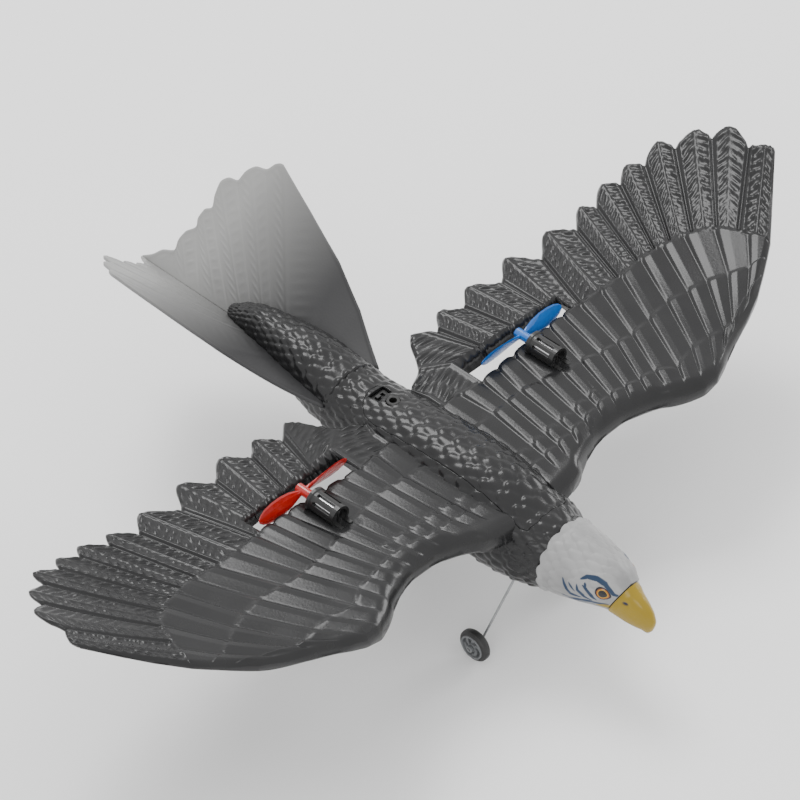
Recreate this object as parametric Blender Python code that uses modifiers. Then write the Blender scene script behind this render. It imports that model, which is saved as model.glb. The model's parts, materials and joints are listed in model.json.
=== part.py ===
"""Foam flying eagle: twin pusher motors in wing slots, V tail, two wheels.

Built in metres, head toward -Y, the bird's left wing toward +X, up is +Z.
Sizes are written in millimetres and turned into metres by mm().
"""
import math

import bmesh
import bpy
from mathutils import Matrix, Vector

for old in list(bpy.data.objects):
    bpy.data.objects.remove(old, do_unlink=True)

# ---------------------------------------------------------------- sizes (mm)
SPAN = 512.0                # wing tip to wing tip
WING_THICKNESS = 6.6        # foam at the propeller slot
WING_RISE = 0.09            # upward slope of the inner wing
TIP_RISE = 0.0023           # extra upward curve outside the elbow
BODY_WIDTH = 52.0           # fuselage at its widest
BEAK_END = -170.5           # beak tip, measured from the propeller axis plane
TAIL_END = 205.5            # rear end of the V tail
TAIL_SPREAD = 63.0          # half width of the V tail
TAIL_THICKNESS = 3.0
TAIL_FLOOR = -22.0          # height of the V's fold
HUB_SPACING = 81.6          # propeller axis from the centre line
PROP_DIAMETER = 62.0
PROP_CHORD = 11.0
PROP_ROOT_PITCH = 24.0      # blade angle from the disc at the hub, degrees
PROP_TIP_PITCH = 11.0
HUB_DIAMETER = 5.4
HUB_LENGTH = 9.4
SHAFT_DIAMETER = 1.2
MOTOR_DIAMETER = 8.5        # coreless motor can
MOTOR_LENGTH = 17.0
POD_WALL = 1.5
TRACK = 80.0                # between the wheel centres
WHEEL_DIAMETER = 19.0
TYRE_WIDTH = 6.4
RIM_DIAMETER = 14.2
LEG_DIAMETER = 1.4
AXLE_DROP = 85.5            # wheel centre below the propeller axis
AXLE_STATION = -85.2
COVER_WIDTH = 32.0
COVER_FRONT = -97.5
COVER_REAR = 28.0
COVER_DEPTH = 8.6
COVER_WALL = 4.5
BAY_WIDTH = 27.0
BAY_FRONT = -86.0
BAY_REAR = 19.0
BAY_FLOOR = -42.0
PAYLOAD_FRONT = -3.0        # start of the raised clear floor at the bay's rear
PAYLOAD_STEP = 1.2          # height of that floor above the rest
BATTERY_LENGTH = 34.0
BATTERY_WIDTH = 20.0
BATTERY_HEIGHT = 11.0
BOARD_LENGTH = 26.0
BOARD_WIDTH = 20.0
SPAR_DIAMETER = 2.5
SPAR_LENGTH = 140.0
LEAD_DIAMETER = 1.4
NECK_LENGTH = 8.0           # plug of the fuselage inside the head
HEAD_WALL = 1.8
POD_REAR = -11.6            # rear face of the motor pods
POD_LENGTH = 18.6
PRONG_LENGTH = 4.6          # forked foot in front of a pod
SPAR_STATION = -50.0
SPAR_HEIGHT = -11.1
PLATE_TOP = -44.5           # leg mount: upper face, half width, front and rear
PLATE_HALF = 16.0
PLATE_FRONT = -95.0
PLATE_REAR = -83.5
JACK_STATION = 12.3
SWITCH_STATION = 21.8
GAP = 0.3                   # working clearance between neighbouring pieces

CENTRE = (BEAK_END + TAIL_END) / 2.0
AXIS_HEIGHT = AXLE_DROP + WHEEL_DIAMETER / 2.0
SCALE = SPAN / 512.0


def mm(x, y, z):
    """Millimetres about the propeller axis plane to metres about the row origin."""
    return Vector((x, y - CENTRE, z + AXIS_HEIGHT)) * 0.001


# ------------------------------------------------------------- collections
PARTS = bpy.data.collections.new("foam_eagle")
CUTTERS = bpy.data.collections.new("cutters")
bpy.context.scene.collection.children.link(PARTS)
bpy.context.scene.collection.children.link(CUTTERS)


def material(name, rgb, rough, metal=0.0):
    mat = bpy.data.materials.new(name)
    mat.use_nodes = True
    shader = mat.node_tree.nodes["Principled BSDF"]
    shader.inputs["Base Color"].default_value = (rgb[0], rgb[1], rgb[2], 1.0)
    shader.inputs["Roughness"].default_value = rough
    shader.inputs["Metallic"].default_value = metal
    mat.diffuse_color = (rgb[0], rgb[1], rgb[2], 1.0)
    return mat


FOAM = (0.030, 0.030, 0.031)
PALETTE = {
    "foam": (FOAM, 0.45, 0.0),
    "tail_foam": ((0.16, 0.16, 0.16), 0.5, 0.0),
    "white": ((0.45, 0.45, 0.45), 0.45, 0.0),
    "yellow": ((0.36, 0.25, 0.03), 0.25, 0.0),
    "black": ((0.012, 0.012, 0.012), 0.35, 0.0),
    "steel": ((0.55, 0.55, 0.55), 0.3, 1.0),
    "carbon": ((0.02, 0.02, 0.02), 0.35, 0.0),
    "blue": ((0.01, 0.11, 0.33), 0.25, 0.0),
    "red": ((0.26, 0.01, 0.01), 0.25, 0.0),
    "tyre": ((0.01, 0.01, 0.01), 0.6, 0.0),
    "rim": ((0.12, 0.12, 0.12), 0.5, 0.0),
    "silver": ((0.5, 0.5, 0.52), 0.35, 0.0),
    "board": ((0.01, 0.12, 0.03), 0.4, 0.0),
    "wire": ((0.3, 0.01, 0.01), 0.4, 0.0),
}


def finish(obj, colour, smooth=False):
    """Give the piece its own material and, on round pieces, smooth faces."""
    rgb, rough, metal = PALETTE[colour]
    obj.data.materials.clear()
    obj.data.materials.append(material(obj.name + "_mat", rgb, rough, metal))
    for poly in obj.data.polygons:
        poly.use_smooth = smooth
    return obj


def new_object(name, mesh, cutter=False):
    obj = bpy.data.objects.new(name, mesh)
    if cutter:
        CUTTERS.objects.link(obj)
        obj.hide_render = True
        obj.display_type = "WIRE"
    else:
        PARTS.objects.link(obj)
    return obj


def from_faces(name, verts, faces, cutter=False):
    mesh = bpy.data.meshes.new(name)
    mesh.from_pydata([tuple(v) for v in verts], [], faces)
    mesh.validate()
    bm = bmesh.new()
    bm.from_mesh(mesh)
    bmesh.ops.remove_doubles(bm, verts=bm.verts, dist=1e-6)
    bmesh.ops.recalc_face_normals(bm, faces=bm.faces)
    bm.to_mesh(mesh)
    bm.free()
    return new_object(name, mesh, cutter)


def skin(name, rings, cutter=False):
    """Closed body through rings of equal length, with a cap on each end."""
    count = len(rings[0])
    verts = [v for ring in rings for v in ring]
    faces = []
    for k in range(len(rings) - 1):
        a = k * count
        b = a + count
        for i in range(count):
            j = (i + 1) % count
            faces.append((a + i, a + j, b + j, b + i))
    faces.append(tuple(range(count)))
    faces.append(tuple(range(len(verts) - count, len(verts))))
    return from_faces(name, verts, faces, cutter)


def cylinder(name, radius, length, place, axis, sides=24, cutter=False):
    """Closed cylinder centred on place, along axis; lengths in mm."""
    bm = bmesh.new()
    bmesh.ops.create_cone(bm, cap_ends=True, segments=sides, radius1=radius * 0.001,
                          radius2=radius * 0.001, depth=length * 0.001)
    turn = Vector((0, 0, 1)).rotation_difference(Vector(axis)).to_matrix().to_4x4()
    bm.transform(Matrix.Translation(mm(*place)) @ turn)
    mesh = bpy.data.meshes.new(name)
    bm.to_mesh(mesh)
    bm.free()
    return new_object(name, mesh, cutter)


def block(name, low, high, cutter=False):
    x0, y0, z0 = low
    x1, y1, z1 = high
    ring = [(x0, y0), (x1, y0), (x1, y1), (x0, y1)]
    return skin(name, [[mm(x, y, z0) for x, y in ring],
                       [mm(x, y, z1) for x, y in ring]], cutter)


def lathe(name, profile, place, axis, sides=32, cutter=False):
    """Turned piece: (radius, along) pairs in mm from the far end back, spun about axis."""
    closed = profile[0] == profile[-1]
    points = profile[:-1] if closed else profile
    verts = [(r * 0.001, 0.0, h * 0.001) for r, h in points]
    edges = [(i, i + 1) for i in range(len(points) - 1)]
    if closed:
        edges.append((len(points) - 1, 0))
    mesh = bpy.data.meshes.new(name)
    mesh.from_pydata(verts, edges, [])
    obj = new_object(name, mesh)
    spin = obj.modifiers.new("spin", "SCREW")
    spin.steps = sides
    spin.render_steps = sides
    spin.use_merge_vertices = True
    spin.merge_threshold = 0.00001
    spin.use_normal_calculate = True
    turn = Vector((0, 0, 1)).rotation_difference(Vector(axis)).to_matrix().to_4x4()
    obj.matrix_world = Matrix.Translation(mm(*place)) @ turn
    bpy.context.view_layer.update()
    graph = bpy.context.evaluated_depsgraph_get()
    bm = bmesh.new()
    bm.from_object(obj, graph)
    spin.use_normal_flip = bm.calc_volume(signed=True) < 0.0
    bm.free()
    if cutter:
        PARTS.objects.unlink(obj)
        CUTTERS.objects.link(obj)
        obj.hide_render = True
        obj.display_type = "WIRE"
    return obj


def wire(name, points, diameter, cutter=False):
    """Round wire through points, made a mesh with closed ends."""
    curve = bpy.data.curves.new(name, "CURVE")
    curve.dimensions = "3D"
    curve.bevel_depth = diameter * 0.0005
    curve.bevel_resolution = 2
    curve.use_fill_caps = True
    line = curve.splines.new("POLY")
    line.points.add(len(points) - 1)
    for point, place in zip(line.points, points):
        point.co = (*mm(*place), 1.0)
    holder = bpy.data.objects.new(name + "_line", curve)
    bpy.context.scene.collection.objects.link(holder)
    graph = bpy.context.evaluated_depsgraph_get()
    mesh = bpy.data.meshes.new_from_object(holder.evaluated_get(graph))
    bpy.data.objects.remove(holder, do_unlink=True)
    bm = bmesh.new()
    bm.from_mesh(mesh)
    bmesh.ops.remove_doubles(bm, verts=bm.verts, dist=1e-6)
    bmesh.ops.recalc_face_normals(bm, faces=bm.faces)
    bm.to_mesh(mesh)
    bm.free()
    return new_object(name, mesh, cutter)


def cut(obj, tool, operation="DIFFERENCE", solver="EXACT"):
    step = obj.modifiers.new(tool.name, "BOOLEAN")
    step.operation = operation
    step.solver = solver
    step.object = tool
    return step


def between(table, x):
    """Straight-line value of a table of (position, value) pairs at x."""
    if x <= table[0][0]:
        return table[0][1]
    for (x0, v0), (x1, v1) in zip(table, table[1:]):
        if x <= x1:
            return v0 + (v1 - v0) * (x - x0) / (x1 - x0)
    return table[-1][1]


# ------------------------------------------------------------------ fuselage
# station y, height of the section's middle, half width and half height,
# as shares of the widest half width.
BODY_SECTIONS = [
    (-110.0, -31.5, 0.72, 0.75),
    (-104.0, -31.5, 0.80, 0.80),
    (-97.0, -31.5, 0.90, 0.86),
    (-86.0, -31.0, 0.97, 0.96),
    (-70.0, -30.0, 1.00, 1.10),
    (-50.0, -29.0, 1.00, 1.15),
    (-25.0, -28.0, 0.98, 1.08),
    (0.0, -27.0, 0.93, 0.96),
    (16.0, -26.0, 0.88, 0.86),
    (30.0, -24.5, 0.82, 0.76),
    (43.0, -22.5, 0.78, 0.72),
]


def body_ring(y, z, half_width, half_height, grow=0.0, count=28):
    """Rounded section, slightly fuller than an ellipse."""
    ring = []
    for i in range(count):
        a = 2.0 * math.pi * i / count
        c = math.cos(a)
        s = math.sin(a)
        x = math.copysign(abs(c) ** 0.92, c) * (half_width + grow)
        h = math.copysign(abs(s) ** 0.92, s) * (half_height + grow)
        ring.append(mm(x, y, z + h))
    return ring


def body_rings(grow=0.0):
    """Sections of the whole fuselage, grown outwards on every side."""
    half = BODY_WIDTH / 2.0
    rings = []
    for k, (y, z, w, h) in enumerate(BODY_SECTIONS):
        if k == 0:
            y -= grow
        if k == len(BODY_SECTIONS) - 1:
            y += grow
        rings.append(body_ring(y, z, w * half, h * half, grow))
    return rings


def body_top(y):
    """Height of the back on the centre line."""
    table = [(s[0], s[1] + s[3] * BODY_WIDTH / 2.0) for s in BODY_SECTIONS]
    return between(table, y)


def cover_prism(name, grow, drop):
    """Upright block with the cover's plan and a floor that follows the back."""
    half = COVER_WIDTH / 2.0 + grow
    front = COVER_FRONT - grow
    rear = COVER_REAR + grow
    plan = [(-half + 5.0, front), (half - 5.0, front), (half - 1.5, front + 1.5),
            (half, front + 5.0)]
    steps = 10
    arc = rear - half
    for i in range(steps + 1):
        a = math.pi * i / steps
        plan.append((half * math.cos(a), arc + half * math.sin(a)))
    plan += [(-half, front + 5.0), (-half + 1.5, front + 1.5)]
    low = [mm(x, y, body_top(y) - drop) for x, y in plan]
    high = [mm(x, y, 20.0) for x, y in plan]
    return low, high


def floor_strip(name, grow, drop, cutter=True):
    """Solid above a floor curved along the back, cut to the cover's plan."""
    half = COVER_WIDTH / 2.0 + 4.0
    inner = [s[0] for s in BODY_SECTIONS if COVER_FRONT + 1.5 < s[0] < COVER_REAR]
    stations = [COVER_FRONT - 6.0] + inner + [COVER_REAR + 6.0]
    rings = []
    for y in stations:
        floor = body_top(y) - drop
        rings.append([mm(-half, y, floor), mm(half, y, floor), mm(half, y, 25.0), mm(-half, y, 25.0)])
    strip = skin(name + "_strip", rings, True)
    low, high = cover_prism(name, grow, drop + 20.0)
    plan = skin(name, [[Vector((v.x, v.y, mm(0, 0, -40.0).z)) for v in low], high], cutter)
    return strip, plan


lower_body = skin("lower_body", body_rings())
pocket_strip, pocket_plan = floor_strip("cover_recess", 0.0, COVER_DEPTH)
cut(pocket_plan, pocket_strip, "INTERSECT")
cut(lower_body, pocket_plan)
bay = block("bay", (-BAY_WIDTH / 2, BAY_FRONT, BAY_FLOOR), (BAY_WIDTH / 2, PAYLOAD_FRONT, 12.0), True)
cut(lower_body, bay)
bay_rear = block("bay_rear", (-BAY_WIDTH / 2, PAYLOAD_FRONT - 1.0, BAY_FLOOR + PAYLOAD_STEP),
                 (BAY_WIDTH / 2, BAY_REAR, 12.0), True)
cut(lower_body, bay_rear)

back_cover = skin("back_cover", body_rings())
cover_strip, cover_plan = floor_strip("cover_plan", -GAP, COVER_DEPTH - GAP)
cut(cover_plan, cover_strip, "INTERSECT")
cut(back_cover, cover_plan, "INTERSECT")

hollow_rings = []
for y in [-89.0] + [section[0] for section in BODY_SECTIONS if -88.0 < section[0] < 4.0] + [6.0]:
    roof = body_top(y) - COVER_WALL
    hollow_rings.append([mm(-10.5, y, -40.0), mm(10.5, y, -40.0), mm(10.5, y, roof), mm(-10.5, y, roof)])
cut(back_cover, skin("cover_hollow", hollow_rings, True))

# neck plug inside the head
NECK_PLUG = [(-109.0, -31.5, 15.5, 16.5), (-110.0 - NECK_LENGTH, -31.5, 14.0, 15.0)]
neck_tool = skin("neck_plug", [body_ring(y, z, w, h) for y, z, w, h in NECK_PLUG], True)
cut(lower_body, neck_tool, "UNION")

# ------------------------------------------------------------- head and beak
# station y, forward lean of the section, middle height, half width, up, down
HEAD_SECTIONS = [
    (-110.4, 0.00, -31.0, 20.3, 20.0, 20.5),
    (-117.0, 0.05, -31.0, 20.0, 19.6, 18.6),
    (-126.0, 0.10, -30.5, 18.4, 18.4, 16.6),
    (-135.0, 0.18, -30.5, 15.8, 17.4, 14.6),
    (-143.0, 0.30, -31.0, 12.8, 15.6, 12.6),
    (-148.8, 0.435, -32.4, 10.3, 11.5, 11.0),
]


def leaning_ring(y, lean, z, half_width, up, down, grow=0.0, count=24):
    ring = []
    for i in range(count):
        a = 2.0 * math.pi * i / count
        c = math.cos(a)
        s = math.sin(a)
        height = s * ((up if s > 0 else down) + grow)
        ring.append(mm(c * (half_width + grow), y - lean * height, z + height))
    return ring


head_shell = skin("head_shell", [leaning_ring(*s) for s in HEAD_SECTIONS])
hollow = [leaning_ring(-105.0, 0, -31.0, 20.3 - HEAD_WALL, 20.0 - HEAD_WALL, 20.5 - HEAD_WALL)]
for section in HEAD_SECTIONS[1:5]:
    hollow.append(leaning_ring(*section, grow=-HEAD_WALL))
head_hollow = skin("head_hollow", hollow, True)
cut(head_shell, head_hollow)

# ridge point (y, z), lower point (y, z) and half width of each section
BEAK_SECTIONS = [
    ((-154.4, -21.2), (-144.6, -43.6), 9.9),
    ((-159.5, -25.0), (-149.0, -45.0), 8.2),
    ((-164.8, -28.9), (-154.5, -46.0), 6.6),
    ((-168.9, -33.4), (-159.5, -45.8), 5.0),
    ((BEAK_END, -38.0), (-162.5, -45.4), 3.6),
    ((-169.5, -42.8), (-164.0, -45.8), 2.4),
    ((-167.4, -46.2), (-165.2, -46.8), 1.0),
]


def beak_ring(ridge, lower, half_width, count=20):
    ring = []
    for i in range(count):
        a = 2.0 * math.pi * i / count
        up = 0.5 + 0.5 * math.sin(a)
        ring.append(mm(half_width * math.cos(a) * (1.12 - 0.24 * up), lower[0] + (ridge[0] - lower[0]) * up,
                       lower[1] + (ridge[1] - lower[1]) * up))
    return ring


beak = skin("beak", [beak_ring(*section) for section in BEAK_SECTIONS])

# --------------------------------------------------------------- tail boom
BOOM_SECTIONS = [
    (43.4, -21.0, 19.8, 19.0),
    (56.0, -19.5, 19.5, 19.0),
    (72.0, -15.5, 17.6, 17.6),
    (92.0, -12.5, 14.0, 14.0),
    (112.0, -11.5, 9.8, 11.0),
    (124.0, -13.0, 6.6, 8.0),
    (134.0, -16.0, 3.0, 4.4),
]
tail_boom = skin("tail_boom", [body_ring(y, z, w, h, count=24) for y, z, w, h in BOOM_SECTIONS])

# ------------------------------------------------------------------- tail
TAIL_LEAN = [(43.0, 0.29), (72.0, 0.53), (100.0, 0.69), (128.0, 0.80), (156.0, 0.89), (206.0, 0.93)]
TAIL_EDGE = [(21.0, 43.0), (36.5, 72.0), (46.6, 97.0), (55.6, 128.7), (63.0, 156.0)]
# rear edge of one tail half: six feather ends with the dips between them
TAIL_RIM = [(63.0, 156.0), (61.6, 160.4), (57.8, 163.8), (56.2, 170.5), (51.8, 175.0),
            (47.5, 176.2), (46.3, 182.0), (42.5, 185.6), (37.5, 184.5), (32.6, 181.8),
            (30.0, 185.4), (26.0, 186.2), (22.4, 184.4), (18.2, 188.8), (14.0, 190.0),
            (10.0, 188.8), (7.0, 195.8), (3.4, 200.0), (0.6, TAIL_END)]


def tail_outline():
    """Outer edge of one tail half: front edge, then the feather ends."""
    spread = TAIL_SPREAD / 63.0
    points = []
    for (x0, y0), (x1, y1) in zip(TAIL_EDGE, TAIL_EDGE[1:]):
        for k in range(2):
            points.append((x0 + (x1 - x0) * k / 2.0, y0 + (y1 - y0) * k / 2.0))
    points += TAIL_RIM
    return [(x * spread, y) for x, y in points]


def tail_half(name, side):
    outline = tail_outline()
    verts = []
    rings = []
    rows = 6
    for order, (x, y) in enumerate(outline):
        inner_x = GAP / 2.0
        inner_y = 60.0 + (TAIL_END - 0.5 - 60.0) * order / (len(outline) - 1)
        top = []
        under = []
        for r in range(rows + 1):
            f = r / rows
            px = inner_x + (x - inner_x) * f
            py = inner_y + (y - inner_y) * f
            lean = between(TAIL_LEAN, py)
            h = TAIL_FLOOR + px * lean + TAIL_THICKNESS
            thick = TAIL_THICKNESS * (1.0 - 0.45 * f)
            top.append(mm(side * px, py, h))
            under.append(mm(side * px, py, h - thick * math.hypot(1.0, lean)))
        rings.append(top + under[::-1])
    return skin(name, rings)


boom_tool = skin("boom_clearance", [body_ring(y + (GAP if k else -3.0), z, w, h, GAP, 24)
                                    for k, (y, z, w, h) in enumerate(BOOM_SECTIONS)], True)
tails = []
for name, side in (("left_tail_panel", 1), ("right_tail_panel", -1)):
    panel = tail_half(name, side)
    cut(panel, boom_tool)
    tails.append(panel)

# ------------------------------------------------------------------- wings
TIPS = [(46.8, 44.9), (68.8, 45.5), (92.6, 46.6), (122.0, 46.0), (151.3, 42.8), (175.6, 40.4),
        (194.0, 40.6), (210.6, 37.4), (229.8, 32.1), (244.0, 18.4), (254.6, 1.7), (256.0, -25.0)]
NOTCHES = [(58.3, 36.2), (79.6, 37.2), (107.1, 35.0), (134.4, 30.6), (162.9, 30.7), (180.8, 32.3),
           (199.9, 31.9), (215.8, 28.5), (231.8, 20.6), (245.4, 6.4), (250.6, -15.0)]
FRONT = [(12.0, -92.0), (33.0, -90.0), (40.0, -85.0), (52.0, -80.0), (63.0, -77.5), (78.0, -78.0),
         (90.0, -81.5), (100.0, -86.0), (107.0, -91.2), (115.0, -95.4), (123.0, -98.4), (130.0, -98.4),
         (136.0, -97.0), (148.0, -91.5), (161.0, -87.0), (181.0, -81.0), (202.0, -70.0), (218.0, -60.0),
         (229.0, -51.0), (240.0, -41.0), (250.0, -33.5), (253.5, -30.5)]
NOSE_DEPTH = [(0.0, 14.0), (52.0, 13.5), (90.0, 15.5), (100.0, 15.5), (115.0, 15.0), (123.0, 11.5),
              (136.0, 8.5), (161.0, 8.5), (181.0, 7.5), (202.0, 6.5), (218.0, 5.5), (240.0, 3.5), (254.0, 2.6)]
FOAM_DEPTH = [(0.0, 6.2), (90.0, 5.6), (140.0, 4.4), (200.0, 2.6), (254.0, 0.6)]


def wing_top(x):
    return -11.0 + WING_RISE * x + TIP_RISE * max(0.0, x - 145.0) ** 2


def along(points, f):
    """Point at share f of the length of a run of points."""
    lengths = [math.dist(a, b) for a, b in zip(points, points[1:])]
    want = f * sum(lengths)
    for (a, b), length in zip(zip(points, points[1:]), lengths):
        if want <= length:
            k = want / length
            return (a[0] + (b[0] - a[0]) * k, a[1] + (b[1] - a[1]) * k)
        want -= length
    return points[-1]


def rear_points():
    """Rear edge from the body out to the wing tip: rounded feather ends."""
    points = [(12.0, 12.0), (21.0, 18.8), (29.8, 22.9), (35.5, 29.8), (41.9, 40.2)]
    for k, tip in enumerate(TIPS):
        if k:
            notch = NOTCHES[k - 1]
            points.append(notch)
            points.append((notch[0] * 0.5 + tip[0] * 0.5 - 0.10 * (tip[1] - notch[1]),
                           notch[1] * 0.35 + tip[1] * 0.65))
        points.append(tip)
        if k < len(NOTCHES):
            notch = NOTCHES[k]
            points.append((notch[0] * 0.45 + tip[0] * 0.55 + 0.12 * abs(tip[1] - notch[1]),
                           notch[1] * 0.40 + tip[1] * 0.60))
    return points


REAR = rear_points()
REAR_LENGTH = [0.0]
for a, b in zip(REAR, REAR[1:]):
    REAR_LENGTH.append(REAR_LENGTH[-1] + math.hypot(b[0] - a[0], 0.35 * (b[1] - a[1])))


def wing_ring(k, side):
    rear = REAR[k]
    share = REAR_LENGTH[k] / REAR_LENGTH[-1]
    front = along(FRONT, share)
    top = []
    under = []
    scale = WING_THICKNESS / 6.6
    for t in (0.0, 0.04, 0.10, 0.20, 0.35, 0.55, 0.75, 0.90, 1.0):
        x = front[0] + (rear[0] - front[0]) * t
        y = front[1] + (rear[1] - front[1]) * t
        nose = between(NOSE_DEPTH, front[0])
        zt = wing_top(x)
        drop = nose * max(0.0, 1.0 - t / 0.22) ** 2.4 * 0.82
        body = 2.5 + between(FOAM_DEPTH, x) * (1.0 - t) ** 0.55 * scale * 1.05
        front_share = max(0.0, 1.0 - t / 0.5)
        depth = max(body, nose * front_share + body * (1.0 - front_share))
        top.append((x * side * SCALE, y, zt - drop))
        under.append((x * side * SCALE, y, zt - depth))
    under[0] = (under[0][0], under[0][1] + 0.6, under[0][2])
    return [mm(*p) for p in top] + [mm(*p) for p in under[::-1]]


def slot_tool(name, side):
    """Through-slot for the propeller, narrower outboard and at its foot."""
    upper = [(45.5, -8.6), (116.0, -8.8), (117.5, 4.6), (45.5, 13.0)]
    lower = [(45.5, -8.6), (116.0, -8.8), (117.0, 2.4), (45.5, 8.0)]
    k = HUB_SPACING / 81.6
    high = [mm(side * x * k, y, 8.0) for x, y in upper]
    middle = [mm(side * x * k, y, wing_top(x)) for x, y in upper]
    foot = [mm(side * x * k, y, wing_top(x) - WING_THICKNESS - 1.5) for x, y in lower]
    floor = [mm(side * x * k, y, -30.0) for x, y in lower]
    return skin(name, [high, middle, foot, floor], True)


body_tool = skin("body_clearance", body_rings(GAP), True)
spar_tool = cylinder("spar_tunnel", SPAR_DIAMETER / 2 + GAP, SPAR_LENGTH + 2 * GAP,
                     (0, SPAR_STATION, SPAR_HEIGHT), (1, 0, 0), 16, True)
POD_RADIUS = MOTOR_DIAMETER / 2.0 + GAP + POD_WALL
LEAD_STATION = POD_REAR - POD_LENGTH + 1.8


def lead_path(side):
    x = HUB_SPACING * side
    return [(x, LEAD_STATION, 1.5), (x, LEAD_STATION, -8.6), (x - side * 6.0, LEAD_STATION, -9.0),
            (side * 30.0, LEAD_STATION, -12.0), (side * 9.0, LEAD_STATION, -16.0), (side * 5.0, -24.0, -30.0)]


wings = []
for name, side in (("left_wing", 1), ("right_wing", -1)):
    wing = skin(name, [wing_ring(k, side) for k in range(len(REAR))])
    word = name.split("_")[0]
    lead_tool = wire(word + "_lead_tunnel", lead_path(side), LEAD_DIAMETER + 2 * GAP + 0.2, True)
    cut(wing, spar_tool)
    cut(wing, lead_tool)
    cut(wing, body_tool)
    cut(wing, slot_tool(word + "_slot", side))
    saddle_front = POD_REAR - POD_LENGTH - PRONG_LENGTH - GAP
    saddle = cylinder(word + "_saddle", POD_RADIUS + 0.8 + GAP, -7.0 - saddle_front,
                      (side * HUB_SPACING, (saddle_front - 7.0) / 2.0, 0.0), (0, 1, 0), 32, True)
    cut(wing, saddle, solver="MANIFOLD")
    cut(lower_body, lead_tool)
    wings.append((wing, lead_tool))
cut(lower_body, spar_tool)

wing_spar = cylinder("wing_spar", SPAR_DIAMETER / 2, SPAR_LENGTH, (0, SPAR_STATION, SPAR_HEIGHT), (1, 0, 0), 16)

# -------------------------------------------------- motors and propellers
def pod(name, side, lead_tool):
    """Slotted sleeve with a rear rim and a forked front foot."""
    r = POD_RADIUS
    bore = MOTOR_DIAMETER / 2.0 + GAP
    nose = SHAFT_DIAMETER / 2.0 + 0.8
    shell = lathe(name, [(bore, POD_LENGTH), (r, POD_LENGTH), (r, 2.2), (r + 0.8, 1.6), (r + 0.8, 0.0),
                         (nose, 0.0), (nose, 1.4), (bore, 1.4), (bore, POD_LENGTH)],
                  (side * HUB_SPACING, POD_REAR, 0.0), (0, -1, 0), 32)
    centre = mm(side * HUB_SPACING, POD_REAR - 9.8, 0.0)
    for k, angle in enumerate((12.0, 59.0, -35.0, -82.0)):
        bar = block(name + "_window_%d" % k, (-1.0, -6.0, 3.0), (1.0, 6.0, 9.0), True)
        bar.data.transform(Matrix.Translation(-mm(0, 0, 0)))     # turned about the pod's own axis
        bar.matrix_world = Matrix.Translation(centre) @ Matrix.Rotation(-math.radians(angle), 4, "Y")
        cut(shell, bar)
    for k, dx in enumerate((-3.2, 3.2)):
        foot = block(name + "_prong_%d" % k,
                     (side * HUB_SPACING + dx - 1.1, POD_REAR - POD_LENGTH - PRONG_LENGTH, -r + 0.4),
                     (side * HUB_SPACING + dx + 1.1, POD_REAR - POD_LENGTH + 1.0, -2.9), True)
        cut(shell, foot, "UNION")
    cut(shell, lead_tool)
    return finish(shell, "black", True)


def can(name, side):
    r = MOTOR_DIAMETER / 2.0
    length = MOTOR_LENGTH - 3.6
    turned = lathe(name, [(0.0, length), (r - 0.6, length), (r, length - 0.5), (r, 0.4),
                          (r - 0.4, 0.0), (0.0, 0.0)],
                   (side * HUB_SPACING, POD_REAR - 1.4 - GAP, 0.0), (0, -1, 0), 24)
    return finish(turned, "steel", True)


def propeller(name, side, colour):
    """Two broad rounded blades, twisted along their length, on a stub hub."""
    hub_r = HUB_DIAMETER / 2.0
    radius = PROP_DIAMETER / 2.0
    stations = [(1.5, 0.30, 2.6), (2.6, 0.32, 2.5), (5.0, 0.50, 2.1), (9.0, 0.78, 1.7), (15.0, 0.98, 1.4),
                (21.0, 1.0, 1.2), (26.0, 0.86, 1.1), (29.0, 0.60, 1.0), (31.0, 0.24, 0.8)]
    shaft_r = SHAFT_DIAMETER / 2.0 + 0.15
    hub = lathe(name, [(0.0, 2.0), (shaft_r, 2.0), (shaft_r, HUB_LENGTH), (hub_r, HUB_LENGTH), (hub_r, 0.5),
                       (hub_r - 0.5, 0.0), (0.0, 0.0)],
                (side * HUB_SPACING, 0.2, 0.0), (0, -1, 0), 20)
    middle = mm(side * HUB_SPACING, -3.6, 0.0)
    for arm in (1, -1):
        rings = []
        for d, width, thick in stations:
            d = d * radius / 31.0
            pitch = math.radians(PROP_ROOT_PITCH + (PROP_TIP_PITCH - PROP_ROOT_PITCH) * d / radius) * side
            half = PROP_CHORD * width / 2.0
            ring = []
            for i in range(10):
                a = 2.0 * math.pi * i / 10
                u = half * math.cos(a)
                v = thick / 2.0 * math.sin(a)
                up = u * math.cos(pitch) - v * math.sin(pitch)
                back = u * math.sin(pitch) + v * math.cos(pitch)
                ring.append(middle + Vector((arm * d, arm * back, up)) * 0.001)
            rings.append(ring)
        cut(hub, skin(name + "_blade_%d" % arm, rings, True), "UNION")
    return finish(hub, colour, True)


for word, side, colour in (("left", 1, "blue"), ("right", -1, "red")):
    lead_tool = wings[0 if side == 1 else 1][1]
    pod(word + "_motor_pod", side, lead_tool)
    can(word + "_motor_can", side)
    shaft_front = POD_REAR - 1.4
    shaft_rear = 0.2 - 2.0 - GAP
    shaft = cylinder(word + "_motor_shaft", SHAFT_DIAMETER / 2, shaft_rear - shaft_front,
                     (side * HUB_SPACING, (shaft_rear + shaft_front) / 2, 0.0), (0, 1, 0), 16)
    finish(shaft, "steel", True)
    propeller(word + "_propeller", side, colour)
    leads = wire(word + "_motor_leads", lead_path(side), LEAD_DIAMETER)
    finish(leads, "wire", True)

# --------------------------------------------------------- legs and wheels
WHEEL_INNER = TRACK / 2.0 - TYRE_WIDTH / 2.0


def plate_block(name, grow):
    """Block with the leg mount's plan, open through the belly."""
    return block(name, (-PLATE_HALF - grow, PLATE_FRONT - grow, PLATE_TOP - 20.0),
                 (PLATE_HALF + grow, PLATE_REAR + grow, PLATE_TOP + grow), True)


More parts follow.
